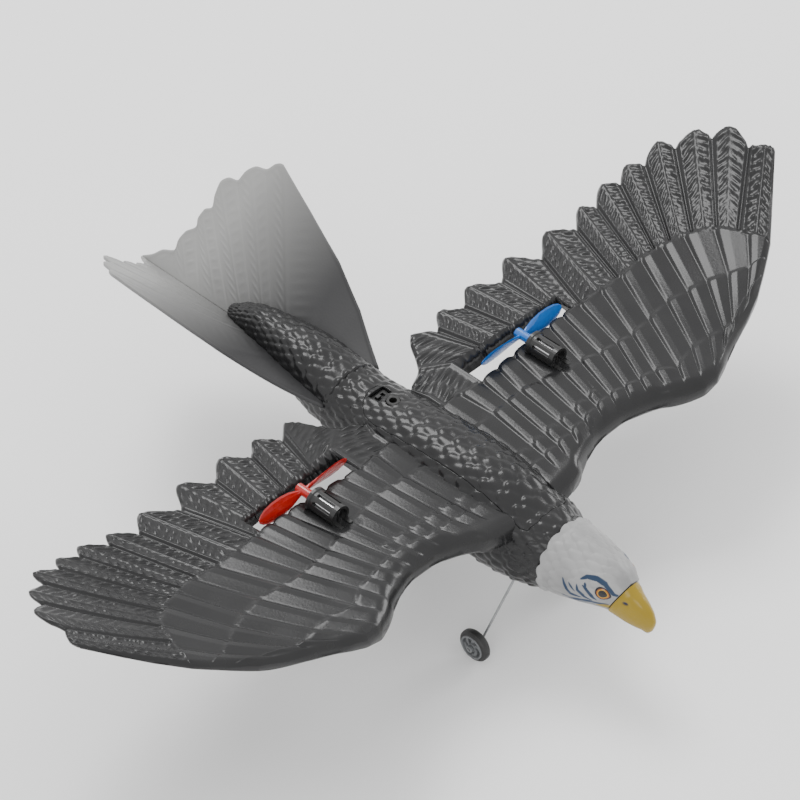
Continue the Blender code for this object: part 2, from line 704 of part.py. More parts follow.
leg_mount = skin("leg_mount", body_rings())
cut(leg_mount, plate_block("leg_mount_plan", 0.0), "INTERSECT")
cut(lower_body, plate_block("leg_mount_recess", GAP))


def leg_path(side, extra=0.0):
    return [(side * 12.0, -89.5, PLATE_TOP - 2.6 + extra),
            (side * (WHEEL_INNER - 2.0), AXLE_STATION, -AXLE_DROP),
            (side * (TRACK / 2.0 + TYRE_WIDTH / 2.0 + 1.9), AXLE_STATION, -AXLE_DROP)]


def wheel(word, side):
    rim_r = RIM_DIAMETER / 2.0
    half = TYRE_WIDTH / 2.0
    bore = LEG_DIAMETER / 2.0 + 0.2
    hub = lathe(word + "_wheel_hub",
                [(bore, half - 0.5), (2.2, half - 0.5), (2.6, half - 1.6), (rim_r - 1.4, half - 1.6),
                 (rim_r - 0.8, half), (rim_r, half), (rim_r, half - 1.2), (rim_r - 0.8, half - 1.6),
                 (rim_r - 0.8, 1.6 - half), (rim_r, 1.2 - half), (rim_r, -half), (rim_r - 0.8, -half),
                 (rim_r - 1.4, 1.6 - half), (2.6, 1.6 - half), (2.2, 0.5 - half), (bore, 0.5 - half),
                 (bore, half - 0.5)],
                (side * TRACK / 2.0, AXLE_STATION, -AXLE_DROP), (side, 0, 0), 28)
    finish(hub, "rim", True)
    r = WHEEL_DIAMETER / 2.0
    w = half - 1.8
    tyre = lathe(word + "_wheel_tyre",
                 [(rim_r - 0.5, w), (rim_r + 0.3, w + 0.5), (rim_r + 0.3, half - 0.4), (r - 1.0, half - 0.9),
                  (r - 0.2, 1.4), (r, 0.0), (r - 0.2, -1.4), (r - 1.0, 0.9 - half), (rim_r + 0.3, 0.4 - half),
                  (rim_r + 0.3, -w - 0.5), (rim_r - 0.5, -w), (rim_r - 0.5, w)],
                 (side * TRACK / 2.0, AXLE_STATION, -AXLE_DROP), (side, 0, 0), 36)
    finish(tyre, "tyre", True)
    cap = lathe(word + "_axle_cap",
                [(LEG_DIAMETER / 2.0 + GAP, 1.5), (1.7, 1.5), (2.0, 1.2), (2.0, 0.0),
                 (LEG_DIAMETER / 2.0 + GAP, 0.0), (LEG_DIAMETER / 2.0 + GAP, 1.5)],
                (side * (TRACK / 2.0 + half + 0.2), AXLE_STATION, -AXLE_DROP), (side, 0, 0), 20)
    finish(cap, "black", True)


for word, side in (("left", 1), ("right", -1)):
    leg = wire(word + "_leg_wire", leg_path(side), LEG_DIAMETER)
    finish(leg, "steel", True)
    socket = wire(word + "_leg_socket", leg_path(side, 0.6), LEG_DIAMETER + 2 * GAP, True)
    cut(leg_mount, socket)
    cut(lower_body, socket)
    wheel(word, side)
finish(leg_mount, "black")

# ------------------------------------------------------ inside the body bay
FLOOR = BAY_FLOOR + GAP
battery = block("battery", (-BATTERY_WIDTH / 2, -80.0, FLOOR),
                (BATTERY_WIDTH / 2, -80.0 + BATTERY_LENGTH, FLOOR + BATTERY_HEIGHT))
edge = battery.modifiers.new("edge", "BEVEL")
edge.width = 0.0015
edge.segments = 2
finish(battery, "silver")

board = block("receiver_board", (-BOARD_WIDTH / 2, -20.0 - BOARD_LENGTH / 2, FLOOR + 3.0),
              (BOARD_WIDTH / 2, -20.0 + BOARD_LENGTH / 2, FLOOR + 4.6))
for k, (low, high) in enumerate((((-4.0, -24.0, FLOOR + 4.0), (4.0, -16.0, FLOOR + 5.8)),
                                 ((-8.0, -32.0, FLOOR + 4.0), (-3.0, -27.5, FLOOR + 8.0)),
                                 ((3.0, -32.0, FLOOR + 4.0), (8.0, -27.5, FLOOR + 8.0)),
                                 ((-9.0, -31.0, FLOOR), (-6.0, -28.0, FLOOR + 3.6)),
                                 ((6.0, -12.0, FLOOR), (9.0, -9.0, FLOOR + 3.6)))):
    cut(board, block("board_piece_%d" % k, low, high, True), "UNION")
finish(board, "board")

battery_leads = wire("battery_leads", [(0.0, -80.0 + BATTERY_LENGTH + GAP, FLOOR + 6.5),
                                       (0.0, -40.0, FLOOR + 6.5), (5.5, -36.0, FLOOR + 6.2),
                                       (5.5, -32.0 - GAP, FLOOR + 6.2)], 1.8)
finish(battery_leads, "wire", True)
antenna = wire("antenna_wire", [(-6.0, -20.0 + BOARD_LENGTH / 2 + GAP, FLOOR + 3.8),
                                (-6.0, -4.0, FLOOR + 10.0), (-6.0, 8.0, FLOOR + 14.0),
                                (-2.0, 16.0, FLOOR + 15.0)], 0.9)
finish(antenna, "black", True)

# --------------------------------------- cover furniture: jack and switch
jack_top = body_top(JACK_STATION)
jack = lathe("charge_jack",
             [(0.0, 5.4), (2.1, 5.4), (2.1, 0.0), (3.4, 0.0), (3.7, 0.3), (3.7, 0.9), (3.0, 0.9),
              (3.0, 6.6), (0.0, 6.6)],
             (0.0, JACK_STATION, jack_top + 0.6), (0, 0, -1), 24)
finish(jack, "black", True)
jack_tool = lathe("jack_hole", [(0.0, -9.0), (3.7 + GAP, -9.0), (3.7 + GAP, 1.3), (3.0 + GAP, 1.3),
                                (3.0 + GAP, 20.0), (0.0, 20.0)],
                  (0.0, JACK_STATION, jack_top + 0.6), (0, 0, -1), 24, True)
cut(back_cover, jack_tool, solver="MANIFOLD")

switch_top = body_top(SWITCH_STATION) - 2.2
pocket = block("switch_pocket", (-5.5, SWITCH_STATION - 3.3, -30.0),
               (5.5, SWITCH_STATION + 3.3, 12.0), True)
cut(back_cover, pocket, solver="MANIFOLD")
switch = block("power_switch_body", (-5.5 + GAP, SWITCH_STATION - 3.3 + GAP, switch_top - 4.4),
               (5.5 - GAP, SWITCH_STATION + 3.3 - GAP, switch_top))
cut(switch, block("switch_slot", (-3.1, SWITCH_STATION - 1.3, switch_top - 1.4),
                  (3.1, SWITCH_STATION + 1.3, switch_top + 2.0), True))
finish(switch, "black")
knob = block("power_switch_knob", (-2.8, SWITCH_STATION - 1.0, switch_top - 1.1),
             (0.0, SWITCH_STATION + 1.0, switch_top + 1.4))
finish(knob, "black")

finish(lower_body, "foam")
finish(back_cover, "foam")
finish(head_shell, "white", True)
finish(beak, "yellow", True)
finish(tail_boom, "foam", True)
for panel in tails:
    finish(panel, "tail_foam")
for wing, tool in wings:
    finish(wing, "foam")
finish(wing_spar, "carbon", True)
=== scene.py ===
"""Foam flying eagle, dressed: moulded feathers, painted head, motors, propellers and wheels."""
import json

import bmesh
import bpy
import numpy as np
from mathutils import Matrix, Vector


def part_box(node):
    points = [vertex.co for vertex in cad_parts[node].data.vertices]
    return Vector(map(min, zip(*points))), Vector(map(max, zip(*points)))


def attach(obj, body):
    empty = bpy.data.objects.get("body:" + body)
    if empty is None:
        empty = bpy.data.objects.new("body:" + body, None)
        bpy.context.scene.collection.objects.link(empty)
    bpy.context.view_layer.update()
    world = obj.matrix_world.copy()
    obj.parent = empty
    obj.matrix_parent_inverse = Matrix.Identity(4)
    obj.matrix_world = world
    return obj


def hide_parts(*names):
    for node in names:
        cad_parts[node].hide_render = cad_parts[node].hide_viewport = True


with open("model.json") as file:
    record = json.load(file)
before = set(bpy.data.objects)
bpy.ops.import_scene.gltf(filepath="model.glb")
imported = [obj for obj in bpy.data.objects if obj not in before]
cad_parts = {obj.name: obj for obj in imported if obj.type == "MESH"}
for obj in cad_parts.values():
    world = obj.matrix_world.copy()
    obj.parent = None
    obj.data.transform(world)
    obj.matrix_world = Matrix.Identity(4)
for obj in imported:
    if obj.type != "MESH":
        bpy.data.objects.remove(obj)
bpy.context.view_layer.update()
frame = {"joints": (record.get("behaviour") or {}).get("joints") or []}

# ---------------------------------------------------------------- studio
# A plain pale floor, one large soft light above and behind the bird, and a weaker
# one on each side. The camera looks down on the bird from its front right.
camera = bpy.data.objects.new("camera", bpy.data.cameras.new("camera"))
bpy.context.scene.collection.objects.link(camera)
camera.data.lens = 159.75
camera.data.sensor_width = 36.0
camera.data.clip_start = 0.05
camera.data.clip_end = 20.0
right = np.array([0.69539546, -0.71862463, -0.00194912])
upward = np.array([0.49242265, 0.4745264, 0.72961951])
back = np.cross(right, upward)
camera.matrix_world = Matrix([(right[0], upward[0], back[0], -0.964586),
                              (right[1], upward[1], back[1], -0.947091),
                              (right[2], upward[2], back[2], 1.356046),
                              (0.0, 0.0, 0.0, 1.0)])
bpy.context.scene.camera = camera


def soft_light(name, location, aim, size, power):
    """Square area light at location, facing aim, size metres wide."""
    data = bpy.data.lights.new(name, "AREA")
    data.size = size
    data.energy = power
    lamp = bpy.data.objects.new(name, data)
    bpy.context.scene.collection.objects.link(lamp)
    away = np.array(location, float) - np.array(aim, float)
    away /= np.linalg.norm(away)
    side = np.cross([0.0, 0.0, 1.0], away)
    side = side / np.linalg.norm(side) if np.linalg.norm(side) > 1e-6 else np.array([1.0, 0.0, 0.0])
    top = np.cross(away, side)
    lamp.matrix_world = Matrix([(side[0], top[0], away[0], location[0]),
                                (side[1], top[1], away[1], location[1]),
                                (side[2], top[2], away[2], location[2]),
                                (0.0, 0.0, 0.0, 1.0)])
    return lamp


soft_light("overhead", (0.25, 0.9, 1.9), (0.0, 0.0, 0.1), 0.9, 26.0)
soft_light("left_side", (2.0, -0.4, 0.9), (0.0, 0.0, 0.1), 0.8, 14.0)
soft_light("right_side", (-1.6, -1.2, 1.5), (0.0, 0.0, 0.1), 0.9, 9.0)

world = bpy.data.worlds.new("studio")
bpy.context.scene.world = world
world.use_nodes = True
world.node_tree.nodes["Background"].inputs["Color"].default_value = (1.0, 1.0, 1.0, 1.0)
world.node_tree.nodes["Background"].inputs["Strength"].default_value = 1.35

floor_mesh = bpy.data.meshes.new("studio_floor")
floor_mesh.from_pydata([(-6, -6, -0.0015), (6, -6, -0.0015), (6, 6, -0.0015), (-6, 6, -0.0015)], [],
                       [(0, 1, 2, 3)])
floor = bpy.data.objects.new("studio_floor", floor_mesh)
bpy.context.scene.collection.objects.link(floor)
paper = bpy.data.materials.new("studio_paper")
paper.use_nodes = True
paper.node_tree.nodes["Principled BSDF"].inputs["Base Color"].default_value = (0.9, 0.9, 0.9, 1.0)
paper.node_tree.nodes["Principled BSDF"].inputs["Roughness"].default_value = 0.9
floor_mesh.materials.append(paper)

# ----------------------------------------------------------------- wings
# Each wing is one moulding of black expanded foam, about 6 mm thick. Its top is moulded
# with a smooth rounded nose, three rows of long covert plates and a fan of flight feathers
# with coarse barbs, and it has a slot for the propeller. It is glued into the fuselage.
MM = 0.001
axle = next(j for j in frame["joints"] if j["name"] == "left_propeller_spin")["pos_m"]
AXIS_HEIGHT = axle[2]                                    # propeller axes above the ground
PLANE_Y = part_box("left_propeller")[1].y - 0.2 * MM       # rear faces of the propeller hubs
HUB_X = axle[0] / MM                                     # propeller axis from the centre line


def place(x, y, z):
    """Arrays in mm about the propeller axis plane (x to the left wing, y aft, z up) to metres."""
    x, y, z = np.broadcast_arrays(x, y, z)
    return np.stack([x * MM, y * MM + PLANE_Y, z * MM + AXIS_HEIGHT], -1)


TIPS = np.array([(46.8, 44.9), (68.8, 45.5), (92.6, 46.6), (122.0, 46.0), (151.3, 42.8),
                 (175.6, 40.4), (194.0, 40.6),
                 (210.6, 37.4), (229.8, 32.1), (244.0, 18.4), (254.6, 1.7), (256.0, -25.0)])
NOTCHES = np.array([(58.3, 36.2), (79.6, 37.2), (107.1, 35.0), (134.4, 30.6), (162.9, 30.7), (180.8, 32.3),
                    (199.9, 31.9), (215.8, 28.5), (231.8, 20.6), (245.4, 6.4), (250.6, -15.0)])
# plate lines: number, then x, y where the line crosses the nose, the front of the plates,
# the end of the first, second and third row, and the rear of the slot
PLATE_LINES = np.array([
    (0.0, 15.5, -92.5, 15.5, -84.0, 16.0, -68.0, 16.5, -27.5, 16.5, -4.5, 16.5, 5.0),
    (1.0, 24.0, -91.5, 25.5, -81.0, 28.0, -68.0, 32.5, -28.0, 31.0, -5.5, 31.0, 7.5),
    (2.0, 36.0, -87.5, 34.5, -79.5, 38.5, -67.5, 43.5, -28.0, 45.5, -8.6, 45.5, 13.0),
    (3.0, 46.0, -82.5, 44.5, -78.0, 49.5, -67.5, 53.5, -27.5, 57.5, -8.6, 55.0, 11.9),
    (4.0, 57.0, -79.0, 55.5, -77.0, 60.0, -66.5, 66.0, -31.0, 70.0, -8.6, 64.7, 10.8),
    (5.0, 67.0, -77.6, 66.5, -76.3, 71.5, -65.0, 78.0, -34.0, 84.0, -8.7, 80.0, 9.0),
    (6.0, 77.0, -78.0, 76.5, -77.0, 82.0, -65.0, 90.0, -37.0, 97.5, -8.7, 94.0, 7.3),
    (7.0, 86.0, -80.3, 85.0, -78.5, 91.5, -67.0, 101.0, -41.0, 108.0, -8.8, 107.5, 5.8),
    (7.75, 93.0, -82.9, 92.0, -81.0, 98.0, -69.0, 109.5, -42.6, 116.5, -8.8, 117.5, 4.6),
    (9.0, 104.0, -88.8, 104.0, -86.0, 110.0, -71.0, 122.0, -45.0, 135.5, -11.0, 0.0, 0.0),
    (10.0, 112.0, -93.6, 112.5, -91.0, 120.0, -79.0, 136.0, -44.5, 151.0, -12.0, 0.0, 0.0),
    (11.0, 121.0, -97.7, 121.0, -95.0, 135.0, -75.5, 152.0, -43.0, 166.5, -12.0, 0.0, 0.0),
    (12.0, 130.0, -98.4, 131.0, -95.5, 147.0, -77.0, 165.0, -46.5, 180.0, -15.0, 0.0, 0.0),
    (13.0, 141.0, -94.7, 142.0, -91.5, 156.0, -80.0, 176.0, -50.5, 192.0, -20.0, 0.0, 0.0),
    (14.0, 156.0, -88.8, 157.0, -85.5, 163.0, -80.0, 186.0, -57.0, 204.5, -31.0, 0.0, 0.0),
    (15.0, 172.0, -83.6, 174.5, -80.0, 183.0, -73.5, 196.0, -63.5, 211.5, -49.0, 0.0, 0.0),
    (16.0, 186.0, -78.4, 192.0, -75.2, 199.0, -71.5, 207.0, -67.0, 214.5, -62.6, 0.0, 0.0)])
FEATHER_ROOTS = np.array([0.0, 3.95, 5.37, 7.04, 8.05, 9.87, 10.87, 11.7, 12.42, 13.3, 14.1, 14.7, 16.0])
FRONT = np.array([(12.0, -92.0), (33.0, -90.0), (40.0, -85.0), (52.0, -80.0), (63.0, -77.5), (78.0, -78.0),
                  (90.0, -81.5), (100.0, -86.0), (107.0, -91.2), (115.0, -95.4), (123.0, -98.4), (130.0, -98.4),
                  (136.0, -97.0), (148.0, -91.5), (161.0, -87.0), (181.0, -81.0), (202.0, -70.0),
                  (218.0, -60.0),
                  (229.0, -51.0), (240.0, -41.0), (250.0, -33.5), (254.5, -30.5)])
SLOT_LINES = (2.0, 7.75)
FEATHER_WIDTHS = np.array([30.0, 22.0, 26.0, 27.0, 26.0, 18.0, 16.0, 15.0, 17.0, 17.0, 20.0, 14.0])
ROWS = (10, 18, 34, 32, 22, 52)           # rows of the grid in each stretch, nose to rear edge


def rounded(xs, ys, at):
    """Smooth curve through points: cubic Hermite pieces with averaged slopes, limited at turns."""
    step = np.diff(xs)
    slope = np.diff(ys) / step
    tangent = np.zeros(len(xs))
    same = slope[:-1] * slope[1:] > 0
    total = np.where(same, slope[:-1] + slope[1:], 1.0)
    tangent[1:-1] = np.where(same, 2 * slope[:-1] * slope[1:] / total, 0.0)
    tangent[0], tangent[-1] = slope[0], slope[-1]
    k = np.clip(np.searchsorted(xs, at, side="right") - 1, 0, len(xs) - 2)
    t = np.clip((at - xs[k]) / step[k], 0.0, 1.0)
    return (ys[k] * (1 + 2 * t) * (1 - t) ** 2 + tangent[k] * step[k] * t * (1 - t) ** 2
            + ys[k + 1] * t * t * (3 - 2 * t) + tangent[k + 1] * step[k] * t * t * (t - 1))


def wing_top(x):
    """Height of the wing's top: a straight rise, then a parabola outside the elbow."""
    return -11.0 + 0.09 * x + 0.0023 * np.maximum(0.0, x - 145.0) ** 2


def rear_edge(c):
    """Rear edge at feather number c: from notch to tip and back, sinusoidal near the body
    and with sharper notches towards the wing tip."""
    ends = np.vstack([(16.0, 15.0), NOTCHES, (254.6, -30.5)])
    k = np.clip(c.astype(int), 0, len(TIPS) - 1)
    f = c - k
    tip = TIPS[k]
    middle = np.array([0.86] + [0.5] * 10 + [0.62])[k]
    inner = f < middle
    s = np.where(inner, f / middle, (1 - f) / (1 - middle))
    root = np.where(inner[:, None], ends[k], ends[k + 1])
    sharp = np.interp(k, [0, 3, 6, 11], [0.15, 0.25, 0.8, 0.9])
    bulge = (1 - sharp) * (1 - np.cos(np.pi * s)) / 2 + sharp * np.sin(np.pi * s / 2) ** 0.85
    chord = ends[k + 1] - ends[k]
    chord /= np.linalg.norm(chord, axis=1)[:, None]
    reach = tip - root
    along = (reach * chord).sum(1)[:, None] * chord
    edge = root + along * s[:, None] + (reach - along) * bulge[:, None]
    body_side = np.array([(0.0, 16.0, 15.0), (0.28, 21.0, 18.8), (0.48, 29.8, 22.9), (0.62, 35.5, 29.8),
                          (0.76, 41.9, 40.2), (0.86, 46.8, 44.9)])
    first = (k == 0) & inner
    edge[first, 0] = rounded(body_side[:, 0], body_side[:, 1], c[first])
    edge[first, 1] = rounded(body_side[:, 0], body_side[:, 2], c[first])
    return edge


def blurred(h, times=1):
    """Height map averaged with its neighbours, weights 1 2 1 each way."""
    for _ in range(times):
        p = np.pad(h, 1, mode="edge")
        h = (p[:-2] + 2 * p[1:-1] + p[2:]) / 4
        h = (h[:, :-2] + 2 * h[:, 1:-1] + h[:, 2:]) / 4
    return h


def covert_relief(a, s, marks):
    """Height of the covert plates. a is the plate number with its share across, s the distance
    along the plate line and marks the distances where the rows end. A plate has a steep inner
    edge, a narrow flat beside it and a wide slope falling outwards, and rises to its rear end."""
    f = a - np.floor(a)
    starts = [marks[:, 1], marks[:, 2], marks[:, 2] + 0.24 * (marks[:, 3] - marks[:, 2]), marks[:, 3]]
    ends = [marks[:, 2], starts[2], marks[:, 3], marks[:, 4]]
    inner_rows = (a[:, 0] < 5.6)
    starts[1] = np.where(inner_rows, starts[1], 1e6)
    starts[2] = np.where(inner_rows, starts[2], marks[:, 2])
    height = np.full(a.shape, 0.62)
    profile = np.interp(f, [0.0, 0.05, 0.13, 0.42, 0.93, 1.0], [0.0, 0.35, 0.86, 1.0, 0.22, 0.0])
    for row, (start, end) in enumerate(zip(starts, ends)):
        long = np.maximum(end - start, 1e-3)[:, None]
        v = (s - start[:, None]) / long
        corner = np.minimum(f, 1 - f)
        rounding = 2.6 * np.clip(1 - corner / 0.3, 0, 1) ** 1.6 / long
        inside = (v >= 0) & (v < 1 - rounding)
        lift = 0.42 + 0.62 * v
        if row == 0:
            lift = lift * np.clip(v / 0.5, 0, 1) + 0.62 * np.clip(1 - v / 0.5, 0, 1)
            shape = profile * np.clip(v / 0.45, 0, 1) + np.clip(1 - v / 0.45, 0, 1)
        else:
            shape = profile
        height = np.where(inside, lift * shape, np.where((v >= 1 - rounding) & (v < 1), 0.05, height))
    return height


def barb_relief(c, s, width):
    """Height of the flight feathers: a double ridge along each divider, a shaft in the middle
    and columns of slanted oval knobs on both sides of it. c is the feather number, s the
    distance along it in mm and width its width in mm."""
    k = np.floor(c)
    f = c - k
    near = np.minimum(f, 1 - f) * width
    ridge = 1.0 * np.exp(-((near - 1.7) / 0.6) ** 2) - 0.9 * np.exp(-(near / 0.75) ** 2)
    shaft = 0.7 * np.exp(-((f - 0.5) * width / 0.8) ** 2)
    knobs = np.zeros_like(f)
    columns = ((0.20, -0.9, 0.068), (0.36, -1.0, 0.068), (0.64, 1.0, 0.068), (0.80, 0.9, 0.068))
    for column, (where, lean, spread) in enumerate(columns):
        u = (f - where) * width
        phase = s + lean * u + 1.9 * column + 2.3 * k + 0.7 * np.sin(0.31 * s + column)
        knob = np.clip(np.cos(2 * np.pi * phase / 4.6), 0, 1) ** 0.75
        size = 0.8 + 0.35 * np.sin(1.7 * np.floor(phase / 4.6 + 0.5) + 2.2 * column + k)
        knobs = knobs + knob * size * np.exp(-(u / (spread * width)) ** 2)
    return 0.45 + ridge + shaft + 1.25 * knobs


def quads(columns, rows, first=0):
    """Face corners of a grid of columns by rows vertices, numbered row within column."""
    i, j = np.meshgrid(np.arange(columns - 1), np.arange(rows - 1), indexing="ij")
    corner = first + i * rows + j
    return np.stack([corner, corner + rows, corner + rows + 1, corner + 1], -1)


def zipper(fine, coarse, picks):
    """Triangles that close the gap between a fine row of vertices and a coarse one, where
    coarse vertex m lies at fine vertex picks[m]. Each fine step is joined to the coarse vertex
    before it, and each coarse step to the fine vertex where it ends."""
    step = np.arange(picks[0], picks[-1])
    before = coarse[np.searchsorted(picks, step, side="right") - 1]
    fans = np.stack([before, fine[step], fine[step + 1]], -1)
    joins = np.stack([coarse[:-1], fine[picks[1:]], coarse[1:]], -1)
    return fans.tolist() + joins.tolist()


def face_outwards(mesh):
    """Turns all faces of a closed mesh outwards."""
    bm = bmesh.new()
    bm.from_mesh(mesh)
    bmesh.ops.recalc_face_normals(bm, faces=bm.faces)
    bm.to_mesh(mesh)
    bm.free()


def mesh_piece(name, verts, faces, material, body):
    """One piece from its vertices and faces, with its material, riding on a CAD body."""
    mesh = bpy.data.meshes.new(name)
    mesh.from_pydata(verts.tolist(), [], faces)
    face_outwards(mesh)
    mesh.shade_smooth()
    mesh.materials.append(material)
    piece = bpy.data.objects.new(name, mesh)
    bpy.context.scene.collection.objects.link(piece)
    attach(piece, body)
    return piece


def foam_material(name, dark, light, rough):
    """Painted expanded foam: nearly even charcoal, a fine skin of beads, soft gloss."""
    mat = bpy.data.materials.new(name)
    mat.use_nodes = True
    nodes, links = mat.node_tree.nodes, mat.node_tree.links
    shader = nodes["Principled BSDF"]
    shader.inputs["Specular IOR Level"].default_value = 0.36
    coords = nodes.new("ShaderNodeTexCoord")
    cloud = nodes.new("ShaderNodeTexNoise")
    cloud.inputs["Scale"].default_value = 55.0
    cloud.inputs["Detail"].default_value = 4.0
    ramp = nodes.new("ShaderNodeValToRGB")
    ramp.color_ramp.elements[0].position = 0.3
    ramp.color_ramp.elements[1].position = 0.75
    ramp.color_ramp.elements[0].color = (*dark, 1.0)
    ramp.color_ramp.elements[1].color = (*light, 1.0)
    beads = nodes.new("ShaderNodeTexVoronoi")
    beads.inputs["Scale"].default_value = 700.0
    gloss = nodes.new("ShaderNodeMapRange")
    gloss.inputs["To Min"].default_value = rough - 0.05
    gloss.inputs["To Max"].default_value = rough + 0.07
    bump = nodes.new("ShaderNodeBump")
    bump.inputs["Strength"].default_value = 0.06
    bump.inputs["Distance"].default_value = 0.0004
    links.new(coords.outputs["Object"], cloud.inputs["Vector"])
    links.new(coords.outputs["Object"], beads.inputs["Vector"])
    links.new(cloud.outputs["Fac"], ramp.inputs["Fac"])
    links.new(ramp.outputs["Color"], shader.inputs["Base Color"])
    links.new(cloud.outputs["Fac"], gloss.inputs["Value"])
    links.new(gloss.outputs["Result"], shader.inputs["Roughness"])
    links.new(beads.outputs["Distance"], bump.inputs["Height"])
    links.new(bump.outputs["Normal"], shader.inputs["Normal"])
    return mat


wing_foam = foam_material("wing_foam", (0.0095, 0.0095, 0.010), (0.0135, 0.0135, 0.014), 0.25)


def wing_grid():
    """Plan points of the wing's top as two arrays of columns by rows, with what each relief
    needs: plate number, feather number, distance along the column and the row marks."""
    spans = ((0.0, SLOT_LINES[0], 52), (SLOT_LINES[0], SLOT_LINES[1], 180), (SLOT_LINES[1], 16.0, 300))
    a = np.concatenate([np.linspace(lo, hi, n, endpoint=False) for lo, hi, n in spans] + [[16.0]])
    lines = PLATE_LINES
    c = np.interp(a, FEATHER_ROOTS, np.arange(len(FEATHER_ROOTS)))
    rear = rear_edge(c)
    points = [np.stack([np.interp(a, lines[:, 0], lines[:, k]), np.interp(a, lines[:, 0], lines[:, k + 1])], -1)
              for k in (1, 3, 5, 7, 9)]
    share = 0.34
    slot_rear = points[4] + (rear - points[4]) * share
    inner = a <= SLOT_LINES[1]
    near = lines[:9]
    slot_rear[inner, 0] = np.interp(a[inner], near[:, 0], near[:, 11])
    slot_rear[inner, 1] = np.interp(a[inner], near[:, 0], near[:, 12])
    blend = np.clip((a - SLOT_LINES[1]) / 0.5, 0, 1)[:, None]
    step = slot_rear[inner][-1] - (points[4] + (rear - points[4]) * share)[inner][-1]
    slot_rear = np.where(inner[:, None], slot_rear, slot_rear + step * (1 - blend) ** 2)
    points += [slot_rear, rear]
    columns = []
    for start, end, count in zip(points, points[1:], ROWS):
        t = np.arange(count) / count
        columns.append(start[:, None] + (end - start)[:, None] * t[None, :, None])
    grid = np.concatenate(columns + [rear[:, None]], 1)
    reach = np.linalg.norm(np.diff(grid, axis=1), axis=2)
    s = np.concatenate([np.zeros((len(a), 1)), np.cumsum(reach, 1)], 1)
    marks = s[:, np.concatenate([[0], np.cumsum(ROWS)])]
    return a, c, grid, s, marks


